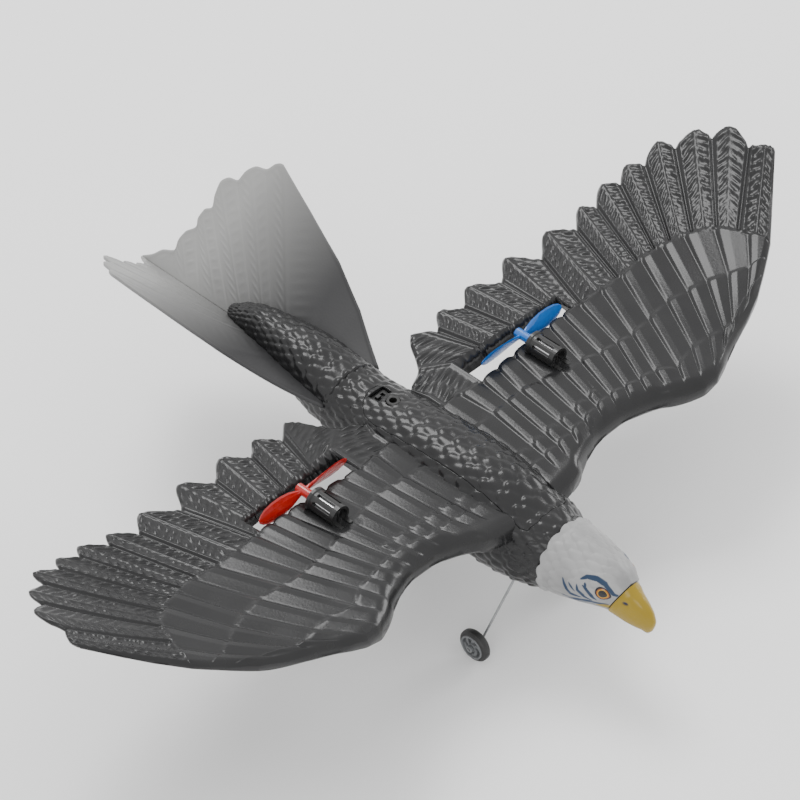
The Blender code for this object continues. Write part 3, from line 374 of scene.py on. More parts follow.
def wing(name, node, side):
    """Wing skin: over the plan grid, height = top surface, an ellipse at the nose, plus the
    moulded relief. The underside is the top less a thickness that falls from nose to rear edge,
    with a flute under each divider, and the slot is left out of both. side mirrors it."""
    a, c, grid, s, marks = wing_grid()
    x, y = grid[..., 0], grid[..., 1]
    columns, rows = x.shape
    aa = np.repeat(a[:, None], rows, 1)
    cc = np.repeat(c[:, None], rows, 1)
    front = rounded(FRONT[:, 0], FRONT[:, 1], x)
    tilt = np.interp(x, [140.0, 200.0, 256.0], [1.0, 0.85, 0.78])
    behind = np.maximum(0.0, (y - front) * tilt)
    behind[-1] = 0.0
    nose = np.interp(x, [0, 90, 115, 136, 161, 181, 218, 254], [8.5, 9.0, 8.8, 6.0, 5.4, 4.8, 3.0, 1.3])
    depth = np.clip(1 - behind / (nose * 1.05), 0, 1)
    top = wing_top(x) - nose * (1 - np.sqrt(1 - depth ** 2 * 0.999))
    # moulded relief, in mm above the base surface
    covert = covert_relief(aa, s, marks)
    along = s - marks[:, 4:5]
    width = FEATHER_WIDTHS[np.clip(c.astype(int), 0, 11)][:, None]
    flight = barb_relief(cc, along, width)
    mix = np.clip(along / 1.0, 0, 1)
    relief = covert * 1.5 * (1 - mix) + (flight * 1.0 - 0.55) * mix
    to_rear = marks[:, 6:7] - s
    relief -= 1.6 * np.clip(1 - to_rear / 2.2, 0, 1) ** 2
    relief *= np.clip(behind / 3.0, 0.0, 1) * 0.9 + 0.1
    relief = blurred(relief, 1)
    pad_y = (y + 22.0) / 15.5
    pad_x = (x - HUB_X) / 8.6
    pad = np.clip(1.35 - np.maximum(np.abs(pad_x) ** 4 + np.abs(pad_y) ** 6, 0) ** 0.5, 0, 1)
    pad = pad * (along < 0)
    seat = -wing_top(x) - 3.4
    relief = relief * (1 - pad) + np.maximum(seat, 0.3) * pad
    top = top + relief
    # underside: thickness from the nose to the rear edge, fluted between the feathers
    picks = np.array([0, 2, 5, 10, 28, 62, 78, 94, 116, 140, rows - 1])
    bx, by, bs = x[:, picks], y[:, picks].copy(), s[:, picks]
    share = np.clip(bs / marks[:, 6:7], 0, 1)
    thick = 2.3 + np.interp(bx, [0, 90, 140, 200, 254], [6.5, 6.0, 4.6, 2.7, 0.5]) * (1 - share) ** 0.6
    round_under = 1 - np.clip(1 - behind[:, picks] / (nose[:, picks] * 1.3), 0, 1) ** 2
    under = wing_top(bx) - nose[:, picks] - np.sqrt(np.maximum(round_under, 0)) * np.maximum(
        thick - nose[:, picks], nose[:, picks] * 0.65 * np.clip(1 - share / 0.5, 0, 1))
    under = np.where(share > 0.5, np.minimum(wing_top(bx) - thick, top[:, picks] - 1.2), under)
    under = np.minimum(under, top[:, picks] - 0.35)
    flute = 0.5 * np.exp(-((cc[:, picks] - np.round(cc[:, picks])) / 0.05) ** 2) * (bs > marks[:, 4:5])
    under = under + flute
    slot = (int(np.sum(ROWS[:4])), int(np.sum(ROWS[:5])))
    first, last = np.searchsorted(a, SLOT_LINES[0]), np.searchsorted(a, SLOT_LINES[1])
    # slot: its rear wall leans forward, and the plates in front of it end in rounded tongues
    foot = list(picks).index(slot[1])
    by[first:last + 1, foot] -= np.linspace(8.3, 3.4, last + 1 - first)
    under[first:last + 1, foot] -= 1.0
    inside = aa[first:last + 1, 0] - np.floor(aa[first:last + 1, 0])
    tongue = 1.9 * (1 - np.abs(2 * inside - 1) ** 3) * np.sin(np.pi * np.linspace(0, 1, len(inside))) ** 0.3
    reach = np.clip(1 - (slot[0] - np.arange(slot[0] + 1)) / 12.0, 0, 1) ** 2
    y = y.copy()
    y[first:last + 1, :slot[0] + 1] += tongue[:, None] * reach
    verts = np.concatenate([place(side * x, y, top).reshape(-1, 3), place(side * bx, by, under).reshape(-1, 3)])
    upper = quads(columns, rows)
    lower = quads(columns, len(picks), columns * rows)[..., ::-1]
    keep_upper = np.ones(upper.shape[:2], bool)
    keep_upper[first:last, slot[0]:slot[1]] = False
    low_rows = (list(picks).index(slot[0]), list(picks).index(slot[1]))
    keep_lower = np.ones(lower.shape[:2], bool)
    keep_lower[first:last, low_rows[0]:low_rows[1]] = False
    faces = upper[keep_upper].tolist() + lower[keep_lower].tolist()
    up = np.arange(columns * rows).reshape(columns, rows)
    down = columns * rows + np.arange(columns * len(picks)).reshape(columns, len(picks))

    def strip(p, q):
        return np.stack([p[:-1], q[:-1], q[1:], p[1:]], -1).tolist()

    faces += strip(down[:, 0], up[:, 0])
    faces += strip(up[:, -1], down[:, -1])
    faces += strip(up[first:last + 1, slot[0]], down[first:last + 1, low_rows[0]])
    faces += strip(down[first:last + 1, low_rows[1]], up[first:last + 1, slot[1]])
    faces += zipper(up[0], down[0], picks)
    faces += zipper(up[-1], down[-1], picks)
    cut = picks[low_rows[0]:low_rows[1] + 1] - slot[0]
    faces += zipper(up[first, slot[0]:slot[1] + 1], down[first, low_rows[0]:low_rows[1] + 1], cut)
    faces += zipper(up[last, slot[0]:slot[1] + 1], down[last, low_rows[0]:low_rows[1] + 1], cut)
    piece = mesh_piece(name, verts, faces, wing_foam, "airframe")
    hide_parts(node)
    return piece


wing("left_wing_skin", "left_wing", 1)
wing("right_wing_skin", "right_wing", -1)

# -------------------------------------------------------- fuselage shell
# The fuselage is a thick shell of the same black foam, moulded all over with short
# overlapping feathers that point aft. Its back has a long recess and a bay for the battery.
BODY = np.array([(-110.0, -31.5, 0.72, 0.75), (-104.0, -31.5, 0.80, 0.80), (-97.0, -31.5, 0.90, 0.86),
                 (-86.0, -31.0, 0.97, 0.96), (-70.0, -30.0, 1.00, 1.10), (-50.0, -29.0, 1.00, 1.15),
                 (-25.0, -28.0, 0.98, 1.08), (0.0, -27.0, 0.93, 0.96), (16.0, -26.0, 0.88, 0.86),
                 (30.0, -24.5, 0.82, 0.76), (43.0, -22.5, 0.78, 0.72)])
BODY_HALF = 26.0


def feathers(turns, along, count, pitch, reach, height, seed):
    """Height of overlapping rounded feathers. turns is the share of the way around, along the
    distance aft in mm, count the feathers in one row, pitch the distance between rows and
    reach the length of one. Each rises to its rounded rear end and has a crease in its middle,
    and where two overlap the higher one shows."""
    best = np.full(np.broadcast(turns, along).shape, -0.1 * height)
    row = np.floor(along / pitch)
    for back in range(int(np.ceil(reach / pitch)) + 1):
        this = row - back
        place_in_row = turns * count + 0.5 * (this % 2) + 0.10 * np.sin(5.3 * this + seed)
        column = np.floor(place_in_row)
        u = 2 * (place_in_row - column) - 1
        length = reach * (1 + 0.14 * np.sin(12.9898 * column + 78.233 * this + seed))
        v = (along - this * pitch) / length
        end = 1 - 0.50 * np.abs(u) ** 2.4
        inside = (v >= 0) & (v <= end)
        edge = np.clip((end - v) / 0.30, 0, 1)
        tall = height * (0.15 + 0.85 * v) * (1 - 0.50 * np.abs(u) ** 2) * (0.55 + 0.45 * np.sqrt(edge))
        tall = tall * (1 + 0.18 * np.sin(7.77 * column + 3.1 * this + 2 * seed))
        best = np.maximum(best, np.where(inside, tall, 0.0))
    return best


def rings_piece(name, xyz, material, body, start=None, end=None):
    """Closed piece from an array of rings, each ring a closed loop of points in metres.
    start and end are the poles that close it."""
    count, around = xyz.shape[:2]
    verts = xyz.reshape(-1, 3)
    k, i = np.meshgrid(np.arange(count - 1), np.arange(around), indexing="ij")
    j = (i + 1) % around
    faces = np.stack([k * around + i, k * around + j, (k + 1) * around + j, (k + 1) * around + i], -1)
    faces = faces.reshape(-1, 4).tolist()
    first = xyz[0].mean(0) if start is None else np.asarray(start)
    last = xyz[-1].mean(0) if end is None else np.asarray(end)
    verts = np.vstack([verts, first, last])
    i = np.arange(around)
    j = (i + 1) % around
    pole = count * around
    faces += np.stack([np.full(around, pole), j, i], -1).tolist()
    end_ring = (count - 1) * around
    faces += np.stack([np.full(around, pole + 1), end_ring + i, end_ring + j], -1).tolist()
    return mesh_piece(name, verts, faces, material, body)


def body_section(y):
    """Middle height, half width and half height of the fuselage at each y."""
    return (rounded(BODY[:, 0], BODY[:, 1], y), rounded(BODY[:, 0], BODY[:, 2] * BODY_HALF, y),
            rounded(BODY[:, 0], BODY[:, 3] * BODY_HALF, y))


def section_point(angle, half_width, half_height, out):
    """Sideways and upward offset on a section slightly fuller than an ellipse, moved out."""
    c, s = np.cos(angle), np.sin(angle)
    return (np.sign(c) * np.abs(c) ** 0.92 * (half_width + out),
            np.sign(s) * np.abs(s) ** 0.92 * (half_height + out))


def body_tube(name, material, body):
    """Fuselage skin: rings along y, each point on its section moved out by the feathers' height,
    which fades in behind the head."""
    rings, points = 238, 232
    y = np.linspace(-110.0, 45.4, rings)[:, None]
    angle = np.linspace(0, 2 * np.pi, points, endpoint=False)[None, :] - np.pi / 2
    middle, half_width, half_height = body_section(np.minimum(y, 43.0))
    lift = feathers(angle / (2 * np.pi), y + 120.0, 22, 5.6, 9.8, 1.75, 0.7)
    lift = blurred(lift, 1) * np.clip((y + 110.0) / 6.0, 0, 1) - 0.6
    lift = lift + 0.5 * np.clip((y - 38.0) / 4.0, 0, 1)
    out_x, out_z = section_point(angle, half_width, half_height, lift)
    return rings_piece(name, place(out_x, y, middle + out_z), material, body)


def back_height(y):
    """Height of the back on the centre line."""
    middle, _, half_height = body_section(np.asarray(y, float))
    return middle + half_height


def prism(name, outline, low, high):
    """Upright block over a plan outline in mm, with its floor and roof given per point."""
    outline = np.asarray(outline, float)
    count = len(outline)
    verts = np.concatenate([place(outline[:, 0], outline[:, 1], level) for level in (low, high)])
    i = np.arange(count)
    j = (i + 1) % count
    faces = np.stack([i, j, j + count, i + count], -1).tolist()
    faces += [list(range(count))[::-1], list(range(count, 2 * count))]
    mesh = bpy.data.meshes.new(name)
    mesh.from_pydata(verts.tolist(), [], faces)
    face_outwards(mesh)
    tool = bpy.data.objects.new(name, mesh)
    bpy.context.scene.collection.objects.link(tool)
    return tool


def carve(piece, tool, operation="DIFFERENCE"):
    """Cuts the piece with the tool once, then removes the tool."""
    step = piece.modifiers.new("carve", "BOOLEAN")
    step.operation = operation
    step.solver = "MANIFOLD"
    step.object = tool
    graph = bpy.context.evaluated_depsgraph_get()
    done = bpy.data.meshes.new_from_object(piece.evaluated_get(graph))
    done.name = piece.name
    piece.modifiers.clear()
    piece.data = done
    bpy.data.objects.remove(tool, do_unlink=True)


def cover_outline(grow):
    """Plan of the back cover: straight sides, small front corners, half-round rear end."""
    half, front, arc = 16.0 + grow, -97.5 - grow, 12.0
    bend = np.linspace(0, np.pi, 25)
    sides = [(-half + 5, front), (half - 5, front), (half - 1.5, front + 1.5), (half, front + 5)]
    rear = np.stack([half * np.cos(bend), arc + half * np.sin(bend)], -1).tolist()
    return sides + rear + [(-half, front + 5), (-half + 1.5, front + 1.5)]


def cover_block(name, grow, drop):
    """Cover's plan carried up from a floor that follows the back."""
    stations = np.concatenate([[-106.0], np.linspace(-97.0, 28.0, 26), [36.0]])
    floor = back_height(np.clip(stations, -110, 43)) - drop
    across = np.array([-20.0, 20.0])
    y, side = np.meshgrid(stations, across, indexing="ij")
    low = place(side, y, np.repeat(floor[:, None], 2, 1))
    high = place(side, y, np.full(y.shape, 25.0))
    ring = np.stack([low[:, 0], low[:, 1], high[:, 1], high[:, 0]], 1)
    strip = rings_piece(name + "_strip", ring, wing_foam, "airframe")
    outline = cover_outline(grow)
    block = prism(name, outline, -60.0, 24.0)
    carve(block, strip, "INTERSECT")
    return block


shell = body_tube("fuselage_shell", wing_foam, "airframe")
carve(shell, cover_block("cover_recess", 0.0, 8.6))
bay = [(-13.5, -86.0), (13.5, -86.0), (13.5, -3.0), (-13.5, -3.0)]
carve(shell, prism("bay_front", bay, -42.0, 20.0))
bay = [(-13.5, -4.0), (13.5, -4.0), (13.5, 19.0), (-13.5, 19.0)]
carve(shell, prism("bay_rear", bay, -40.8, 20.0))
mount = [(-16.3, -95.3), (16.3, -95.3), (16.3, -83.2), (-16.3, -83.2)]
carve(shell, prism("leg_mount_recess", mount, -70.0, -44.2))
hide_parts("lower_body")

# ---------------------------------------------------------- back cover
# A long piece of the same feathered foam that presses into the recess on the back. Its
# rear end has the charging socket's hole and a small pocket for the power switch.
cover = body_tube("back_cover_skin", wing_foam, "cover")
carve(cover, cover_block("cover_block", -0.18, 8.3), "INTERSECT")
stations = np.linspace(-89.0, 6.0, 20)
ring_y = np.repeat(stations[:, None], 4, 1)
roof = back_height(stations) - 4.5
ring_z = np.stack([np.full(20, -40.0), np.full(20, -40.0), roof, roof], 1)
ring_x = np.tile([-10.5, 10.5, 10.5, -10.5], (20, 1))
carve(cover, rings_piece("cover_hollow", place(ring_x, ring_y, ring_z), wing_foam, "cover"))
turn = np.linspace(0, 2 * np.pi, 36, endpoint=False)
hole = np.stack([4.0 * np.cos(turn), 12.3 + 4.0 * np.sin(turn)], -1)
carve(cover, prism("socket_hole", hole, -40.0, 20.0))
pocket = [(-5.5, 18.5), (5.5, 18.5), (5.5, 25.1), (-5.5, 25.1)]
carve(cover, prism("switch_pocket", pocket, -40.0, 20.0))
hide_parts("back_cover")

# ------------------------------------------------------------ tail boom
# A foam cone behind the fuselage, glued on, with smaller feathers of the same kind. It
# runs out over the fold of the V tail.
BOOM = np.array([(43.4, -21.0, 19.8, 19.0), (56.0, -19.5, 19.5, 19.0), (72.0, -15.5, 17.6, 17.6),
                 (92.0, -12.5, 14.0, 14.0), (112.0, -11.5, 9.8, 11.0), (124.0, -13.0, 6.6, 8.0),
                 (134.0, -16.0, 3.0, 4.4)])
y = np.linspace(43.4, 134.0, 150)[:, None]
angle = np.linspace(0, 2 * np.pi, 200, endpoint=False)[None, :] - np.pi / 2
middle, half_width, half_height = (rounded(BOOM[:, 0], BOOM[:, k], y) for k in (1, 2, 3))
lift = feathers(angle / (2 * np.pi), y + 3.0, 19, 4.6, 8.2, 1.5, 2.1)
lift = blurred(lift) - 0.5
out_x, out_z = section_point(angle, half_width, half_height, lift)
boom = rings_piece("boom_skin", place(out_x, y, middle + out_z), wing_foam, "airframe")
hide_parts("tail_boom")

# --------------------------------------------------------------- V tail
# Two thin foam panels that meet in a fold under the boom. Their tops are moulded with
# six long feathers each, and they are sprayed light grey towards their scalloped ends.
LEAN = np.array([(43, 0.29), (72, 0.53), (100, 0.69), (128, 0.80), (156, 0.89), (206, 0.93)])
TAIL_SIDE = np.array([(21.0, 43.0), (36.5, 72.0), (46.6, 97.0), (55.6, 128.7), (63.0, 156.0)])
TAIL_TIPS = np.array([(63.0, 156.0), (61.6, 160.4), (57.8, 163.8), (56.2, 170.5), (51.8, 175.0), (47.5, 176.2),
                      (46.3, 182.0), (42.5, 185.6), (37.5, 184.5), (32.6, 181.8), (30.0, 185.4), (26.0, 186.2),
                      (22.4, 184.4), (18.2, 188.8), (14.0, 190.0), (10.0, 188.8), (7.0, 195.8), (3.4, 200.0),
                      (0.6, 205.5)])
TAIL_DIPS = np.array([-2.0, 2.0, 5.0, 9.0, 12.0, 15.0, 18.0])


def tail_material():
    """Foam sprayed grey: light at the feather ends, fading to charcoal near the boom."""
    mat = foam_material("tail_foam", (0.10, 0.10, 0.10), (0.13, 0.13, 0.13), 0.5)
    nodes, links = mat.node_tree.nodes, mat.node_tree.links
    shader = nodes["Principled BSDF"]
    spray = nodes.new("ShaderNodeAttribute")
    spray.attribute_name = "spray"
    mix = nodes.new("ShaderNodeMix")
    mix.data_type = "RGBA"
    mix.inputs[6].default_value = (0.026, 0.026, 0.027, 1.0)
    ramp = nodes.new("ShaderNodeValToRGB")
    ramp.color_ramp.elements[0].color = (0.0, 0.0, 0.0, 1.0)
    ramp.color_ramp.elements[1].color = (1.0, 1.0, 1.0, 1.0)
    light = nodes.new("ShaderNodeRGB")
    light.outputs[0].default_value = (0.27, 0.27, 0.265, 1.0)
    links.new(spray.outputs["Fac"], ramp.inputs["Fac"])
    links.new(ramp.outputs["Color"], mix.inputs[0])
    links.new(light.outputs[0], mix.inputs[7])
    links.new(mix.outputs[2], shader.inputs["Base Color"])
    return mat


tail_foam = tail_material()


def tail_panel(name, node, side):
    """One half of the V tail: straight lines from the middle to the scalloped rim, so a point is
    inner + (rim - inner) f, leaning up outwards. Relief is a shaft and slanted knobs on each
    feather and a rolled rim, and the underside is the same surface less the thickness."""
    edge = np.vstack([TAIL_SIDE[:-1], TAIL_TIPS])
    knots = np.arange(len(edge)) - 4.0
    g = np.concatenate([np.linspace(-4, 0, 60, endpoint=False), np.linspace(0, 18, 260)])
    rim_x = np.where(g < 0, np.interp(g, knots, edge[:, 0]), rounded(knots, edge[:, 0], g))
    rim_y = np.where(g < 0, np.interp(g, knots, edge[:, 1]), rounded(knots, edge[:, 1], g))
    inner_y = 60.0 + 145.0 * np.interp(g, [-4, 0, 9, 18], [0, 0.22, 0.52, 1.0])
    f = (1 - (1 - np.linspace(0, 1, 130)) ** 1.05)[None, :]
    x = 0.15 + (rim_x[:, None] - 0.15) * f
    y = inner_y[:, None] + (rim_y - inner_y)[:, None] * f
    lean = np.interp(y, LEAN[:, 0], LEAN[:, 1])
    base = -22.0 + x * lean
    to_rim = np.hypot(rim_x[:, None] - x, rim_y[:, None] - y)
    k = np.clip(np.searchsorted(TAIL_DIPS, g, side="right") - 1, 0, len(TAIL_DIPS) - 2)
    u = ((g - TAIL_DIPS[k]) / (TAIL_DIPS[k + 1] - TAIL_DIPS[k]))[:, None]
    u = np.clip(np.repeat(u, f.shape[1], 1), 0, 1)
    along = np.hypot(x - 0.15, y - inner_y[:, None])
    relief = 0.75 * (1 - u) * np.clip(along / 20, 0, 1) - 0.8 * np.exp(-((u - 0.03) / 0.05) ** 2)
    relief += 0.45 * np.exp(-((u - 0.5) / 0.04) ** 2)
    for where, lean_sign in ((0.28, 1.0), (0.72, -1.0)):
        phase = along + lean_sign * (u - where) * 14 + 1.9 * k[:, None]
        relief += 0.45 * np.clip(np.cos(2 * np.pi * phase / 5.2), 0, 1) * np.exp(-((u - where) / 0.13) ** 2)
    relief *= np.clip(to_rim / 3.0, 0, 1) * np.clip(along / 14.0, 0, 1)
    relief += 0.55 * np.exp(-((to_rim - 1.3) / 0.9) ** 2) - 0.5 * np.clip(1 - to_rim / 0.9, 0, 1) ** 2
    relief = blurred(relief, 1)
    thick = (3.0 * (1 - 0.45 * f)) * np.hypot(1, lean)
    top = base + 3.0 + relief * 0.8 - 0.3
    low = base + 3.0 - thick
    picks = np.array([0, 20, 45, 70, 95, 115, f.shape[1] - 1])
    columns, rows = x.shape
    verts = np.concatenate([place(side * x, y, top).reshape(-1, 3),
                            place(side * x[:, picks], y[:, picks], low[:, picks]).reshape(-1, 3)])
    faces = quads(columns, rows).reshape(-1, 4).tolist()
    faces += quads(columns, len(picks), columns * rows)[..., ::-1].reshape(-1, 4).tolist()
    up = np.arange(columns * rows).reshape(columns, rows)
    down = columns * rows + np.arange(columns * len(picks)).reshape(columns, len(picks))
    faces += np.stack([down[:-1, 0], up[:-1, 0], up[1:, 0], down[1:, 0]], -1).tolist()
    faces += np.stack([up[:-1, -1], down[:-1, -1], down[1:, -1], up[1:, -1]], -1).tolist()
    faces += zipper(up[0], down[0], picks)
    faces += zipper(up[-1], down[-1], picks)
    piece = mesh_piece(name, verts, faces, tail_foam, "airframe")
    spray = np.clip((np.concatenate([(y - 0.12 * (63 - x)).ravel(), (y - 0.12 * (63 - x))[:, picks].ravel()])
                     - 88.0) / 76.0, 0, 1) ** 1.25
    piece.data.attributes.new("spray", "FLOAT", "POINT").data.foreach_set("value", spray.astype(np.float32))
    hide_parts(node)
    return piece


tail_panel("left_tail_skin", "left_tail_panel", 1)
tail_panel("right_tail_skin", "right_tail_panel", -1)

# ---------------------------------------------------------------- head
# The head is a thin-walled shell of white foam glued over the neck. Its feathers are
# shallow, with a scalloped edge at the neck, and the dark marks are painted on.
HEAD = np.array([(-110.4, 0.00, -31.0, 20.3, 20.0, 20.5), (-117.0, 0.05, -31.0, 20.0, 19.6, 18.6),
                 (-126.0, 0.10, -30.5, 18.4, 18.4, 16.6), (-135.0, 0.18, -30.5, 15.8, 17.4, 14.6),
                 (-143.0, 0.30, -31.0, 12.8, 15.6, 12.6), (-148.8, 0.435, -32.4, 10.3, 11.5, 11.0)])
MARKS = (
    (((14.6, -132.2, -21.9), (12.6, -135.4, -19.1), (10.5, -140.5, -18.5), (9.4, -145.0, -19.8),
      (9.2, -148.0, -22.4), (8.9, -149.9, -24.3), (8.0, -151.3, -24.6), (6.2, -152.6, -23.2)), 1.65),
    (((17.9, -123.7, -24.3), (18.3, -126.0, -28.6), (17.4, -128.9, -32.2), (15.7, -134.7, -32.1)), 1.05),
    (((17.1, -126.7, -23.8), (17.4, -128.6, -26.8), (16.9, -131.4, -29.4)), 0.65),
    (((16.0, -131.4, -24.2), (16.4, -132.6, -27.9), (15.4, -136.1, -30.7), (13.7, -140.1, -32.0)), 1.0),
    (((15.2, -134.6, -24.0), (14.6, -137.7, -26.3), (13.7, -140.7, -29.6), (13.0, -142.4, -30.8)), 1.2),
    (((13.9, -135.2, -21.9), (14.9, -136.4, -25.0)), 0.75),
    (((17.4, -121.5, -36.4), (17.2, -126.0, -36.2), (15.9, -129.5, -36.4), (15.2, -134.2, -34.8),
      (14.0, -138.6, -33.6), (12.3, -143.2, -33.2), (10.2, -148.2, -31.6)), 1.15),
    (((16.9, -123.5, -38.2), (15.3, -129.5, -38.0), (13.9, -135.5, -36.6), (12.2, -141.0, -35.6)), 0.6))
GAPE = ((((11.6, -141.2, -35.4), (10.7, -146.0, -34.2), (9.9, -150.3, -33.0), (9.8, -154.5, -32.4)), 1.5),)
EYE = np.array([11.6, -145.0, -24.9])


def stroke_share(points, strokes):
    """Paint strength 0..1 at each point: full inside a stroke, which is widest in its middle
    and tapers to nothing at both ends, measured by distance from its centre line."""
    share = np.zeros(len(points))
    for line, width in strokes:
        line = np.array(line)
        lengths = np.linalg.norm(np.diff(line, axis=0), axis=1)
        before = np.concatenate([[0], np.cumsum(lengths)])
        for start, end, begun, length in zip(line, line[1:], before, lengths):
            way = (end - start) / length
            t = np.clip((points - start) @ way, 0, length)
            gap = np.linalg.norm(points - start - t[:, None] * way, axis=1)
            half = width * np.clip(np.sin(np.pi * (0.04 + 0.92 * (begun + t) / before[-1])), 0, 1) ** 0.7
            share = np.maximum(share, np.clip((half - gap) / 0.16 + 0.5, 0, 1))
    return share


def head_material():
    """White painted foam, with painted shade that darkens it in the grooves, and navy paint where it is marked.
    """
    mat = foam_material("head_paint", (0.25, 0.25, 0.25), (0.32, 0.32, 0.32), 0.42)
    nodes, links = mat.node_tree.nodes, mat.node_tree.links
    shader = nodes["Principled BSDF"]
    white = shader.inputs["Base Color"].links[0].from_socket
    marks = nodes.new("ShaderNodeAttribute")
    marks.attribute_name = "marks"
    groove = nodes.new("ShaderNodeAttribute")
    groove.attribute_name = "groove"
    navy = nodes.new("ShaderNodeMix")
    navy.data_type = "RGBA"
    navy.inputs[7].default_value = (0.010, 0.030, 0.070, 1.0)
    # painted shade: the white is multiplied down to 0.62 grey where the groove attribute is high
    painted_groove_shade = nodes.new("ShaderNodeMix")
    painted_groove_shade.data_type = "RGBA"
    painted_groove_shade.blend_type = "MULTIPLY"
    painted_groove_shade.inputs[7].default_value = (0.62, 0.62, 0.62, 1.0)
    links.new(groove.outputs["Fac"], painted_groove_shade.inputs[0])
    links.new(white, painted_groove_shade.inputs[6])
    links.new(marks.outputs["Fac"], navy.inputs[0])
    links.new(painted_groove_shade.outputs[2], navy.inputs[6])
    gape = nodes.new("ShaderNodeAttribute")
    gape.attribute_name = "gape"
    yellow = nodes.new("ShaderNodeMix")
    yellow.data_type = "RGBA"
    yellow.inputs[7].default_value = (0.24, 0.165, 0.008, 1.0)
    links.new(gape.outputs["Fac"], yellow.inputs[0])
    links.new(navy.outputs[2], yellow.inputs[6])
    links.new(yellow.outputs[2], shader.inputs["Base Color"])
    return mat


def head_rings(t, angle, out):
    """Rings of the head in mm at shares t of its sections, each moved outwards by out."""
    knots = np.arange(6.0)
    y, lean, z, wide, up, down = (rounded(knots, HEAD[:, k], t)[:, None] for k in range(6))
    height = np.sin(angle) * (np.where(np.sin(angle) > 0, up, down) + out)
    peak = 0.9 * np.exp(-((np.abs(angle - np.pi / 2)) / 0.16) ** 2) * np.clip(t[:, None] / 1.5, 0, 1)
    return np.stack(np.broadcast_arrays(np.cos(angle) * (wide + out), y - lean * height, z + height + peak), -1)


angle = np.linspace(0, 2 * np.pi, 360, endpoint=False)[None, :] - np.pi / 2
t = np.linspace(0, 5, 210)
flow = t[:, None] * 8.0 + 0 * angle
lift = feathers(angle / (2 * np.pi), 60.0 - flow, 21, 4.6, 8.5, 1.15, 3.3)
lift = blurred(lift, 2) * np.clip((4.6 - t[:, None]) / 1.2, 0, 1) * (0.45 + 0.55 * np.clip(np.sin(angle), 0, 1))
brow = 0.9 * np.exp(-((angle - 2.32) / 0.16) ** 2) + 0.9 * np.exp(-((angle - 0.82) / 0.16) ** 2)
lift = lift + brow * np.clip((t[:, None] - 2.4) / 1.4, 0, 1) - 0.25
outer = head_rings(t, angle, lift)
flare = np.clip(1 - t[:, None] / 0.28, 0, 1) ** 2
scallop = np.abs(np.sin(angle * 7.0 + 0.6 * np.sin(2 * angle)))
outer[..., 1] += flare * (0.3 + 1.5 * scallop)
outer[..., 0] *= 1 + flare * 0.05
outer[..., 2] = -31.0 + (outer[..., 2] + 31.0) * (1 + flare * 0.05)
inner = head_rings(np.linspace(0, 4, 30), angle, -1.9)
inner[0] = outer[0] + (inner[0] - outer[0]) * 0.42
rings = np.concatenate([outer[::-1], inner])
start = outer[-1].mean(0) + np.array([0.0, -0.2, 0.0])
head = rings_piece("head_skin", place(*np.moveaxis(rings, -1, 0)), head_material(), "airframe",
                   place(*start), place(*inner[-1].mean(0)))
corners = np.concatenate([rings.reshape(-1, 3), start[None], inner[-1].mean(0)[None]])
mirrored = corners.copy()
mirrored[:, 0] = np.abs(mirrored[:, 0])
marks = stroke_share(mirrored, MARKS)
head.data.attributes.new("marks", "FLOAT", "POINT").data.foreach_set("value", marks.astype(np.float32))
gape = stroke_share(mirrored, GAPE)
head.data.attributes.new("gape", "FLOAT", "POINT").data.foreach_set("value", gape.astype(np.float32))
# painted shade: groove is higher where the feather relief is low, so the grooves are painted darker
hollow = np.zeros(len(corners))
hollow[:lift.size] = np.clip(0.16 - lift[::-1].ravel(), 0, 0.4) * 1.2
head.data.attributes.new("groove", "FLOAT", "POINT").data.foreach_set("value", hollow.astype(np.float32))
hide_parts("head_shell")

# ---------------------------------------------------------------- eyes
# Shallow glossy domes, printed with a dark outline, an orange ring and a black pupil.


def eye_material():
    """Glossy printed eye: rings of colour by distance from the eye's middle."""
    mat = bpy.data.materials.new("eye_print")
    mat.use_nodes = True
    nodes, links = mat.node_tree.nodes, mat.node_tree.links
    shader = nodes["Principled BSDF"]
    radius = nodes.new("ShaderNodeAttribute")
    radius.attribute_name = "radius"
    ramp = nodes.new("ShaderNodeValToRGB")
    ramp.color_ramp.interpolation = "LINEAR"
    stops = [(0.0, (0.005, 0.005, 0.006)), (0.52, (0.008, 0.008, 0.010)), (0.57, (0.42, 0.24, 0.01)),
             (0.66, (0.36, 0.15, 0.01)), (0.75, (0.26, 0.06, 0.005)), (0.80, (0.006, 0.006, 0.008)),
             (1.0, (0.006, 0.008, 0.012))]
    while len(ramp.color_ramp.elements) < len(stops):
        ramp.color_ramp.elements.new(0.5)
    for element, (where, colour) in zip(ramp.color_ramp.elements, stops):
        element.position = where
        element.color = (*colour, 1.0)
    links.new(radius.outputs["Fac"], ramp.inputs["Fac"])
    links.new(ramp.outputs["Color"], shader.inputs["Base Color"])
    shader.inputs["Roughness"].default_value = 0.08
    return mat


eye_print = eye_material()


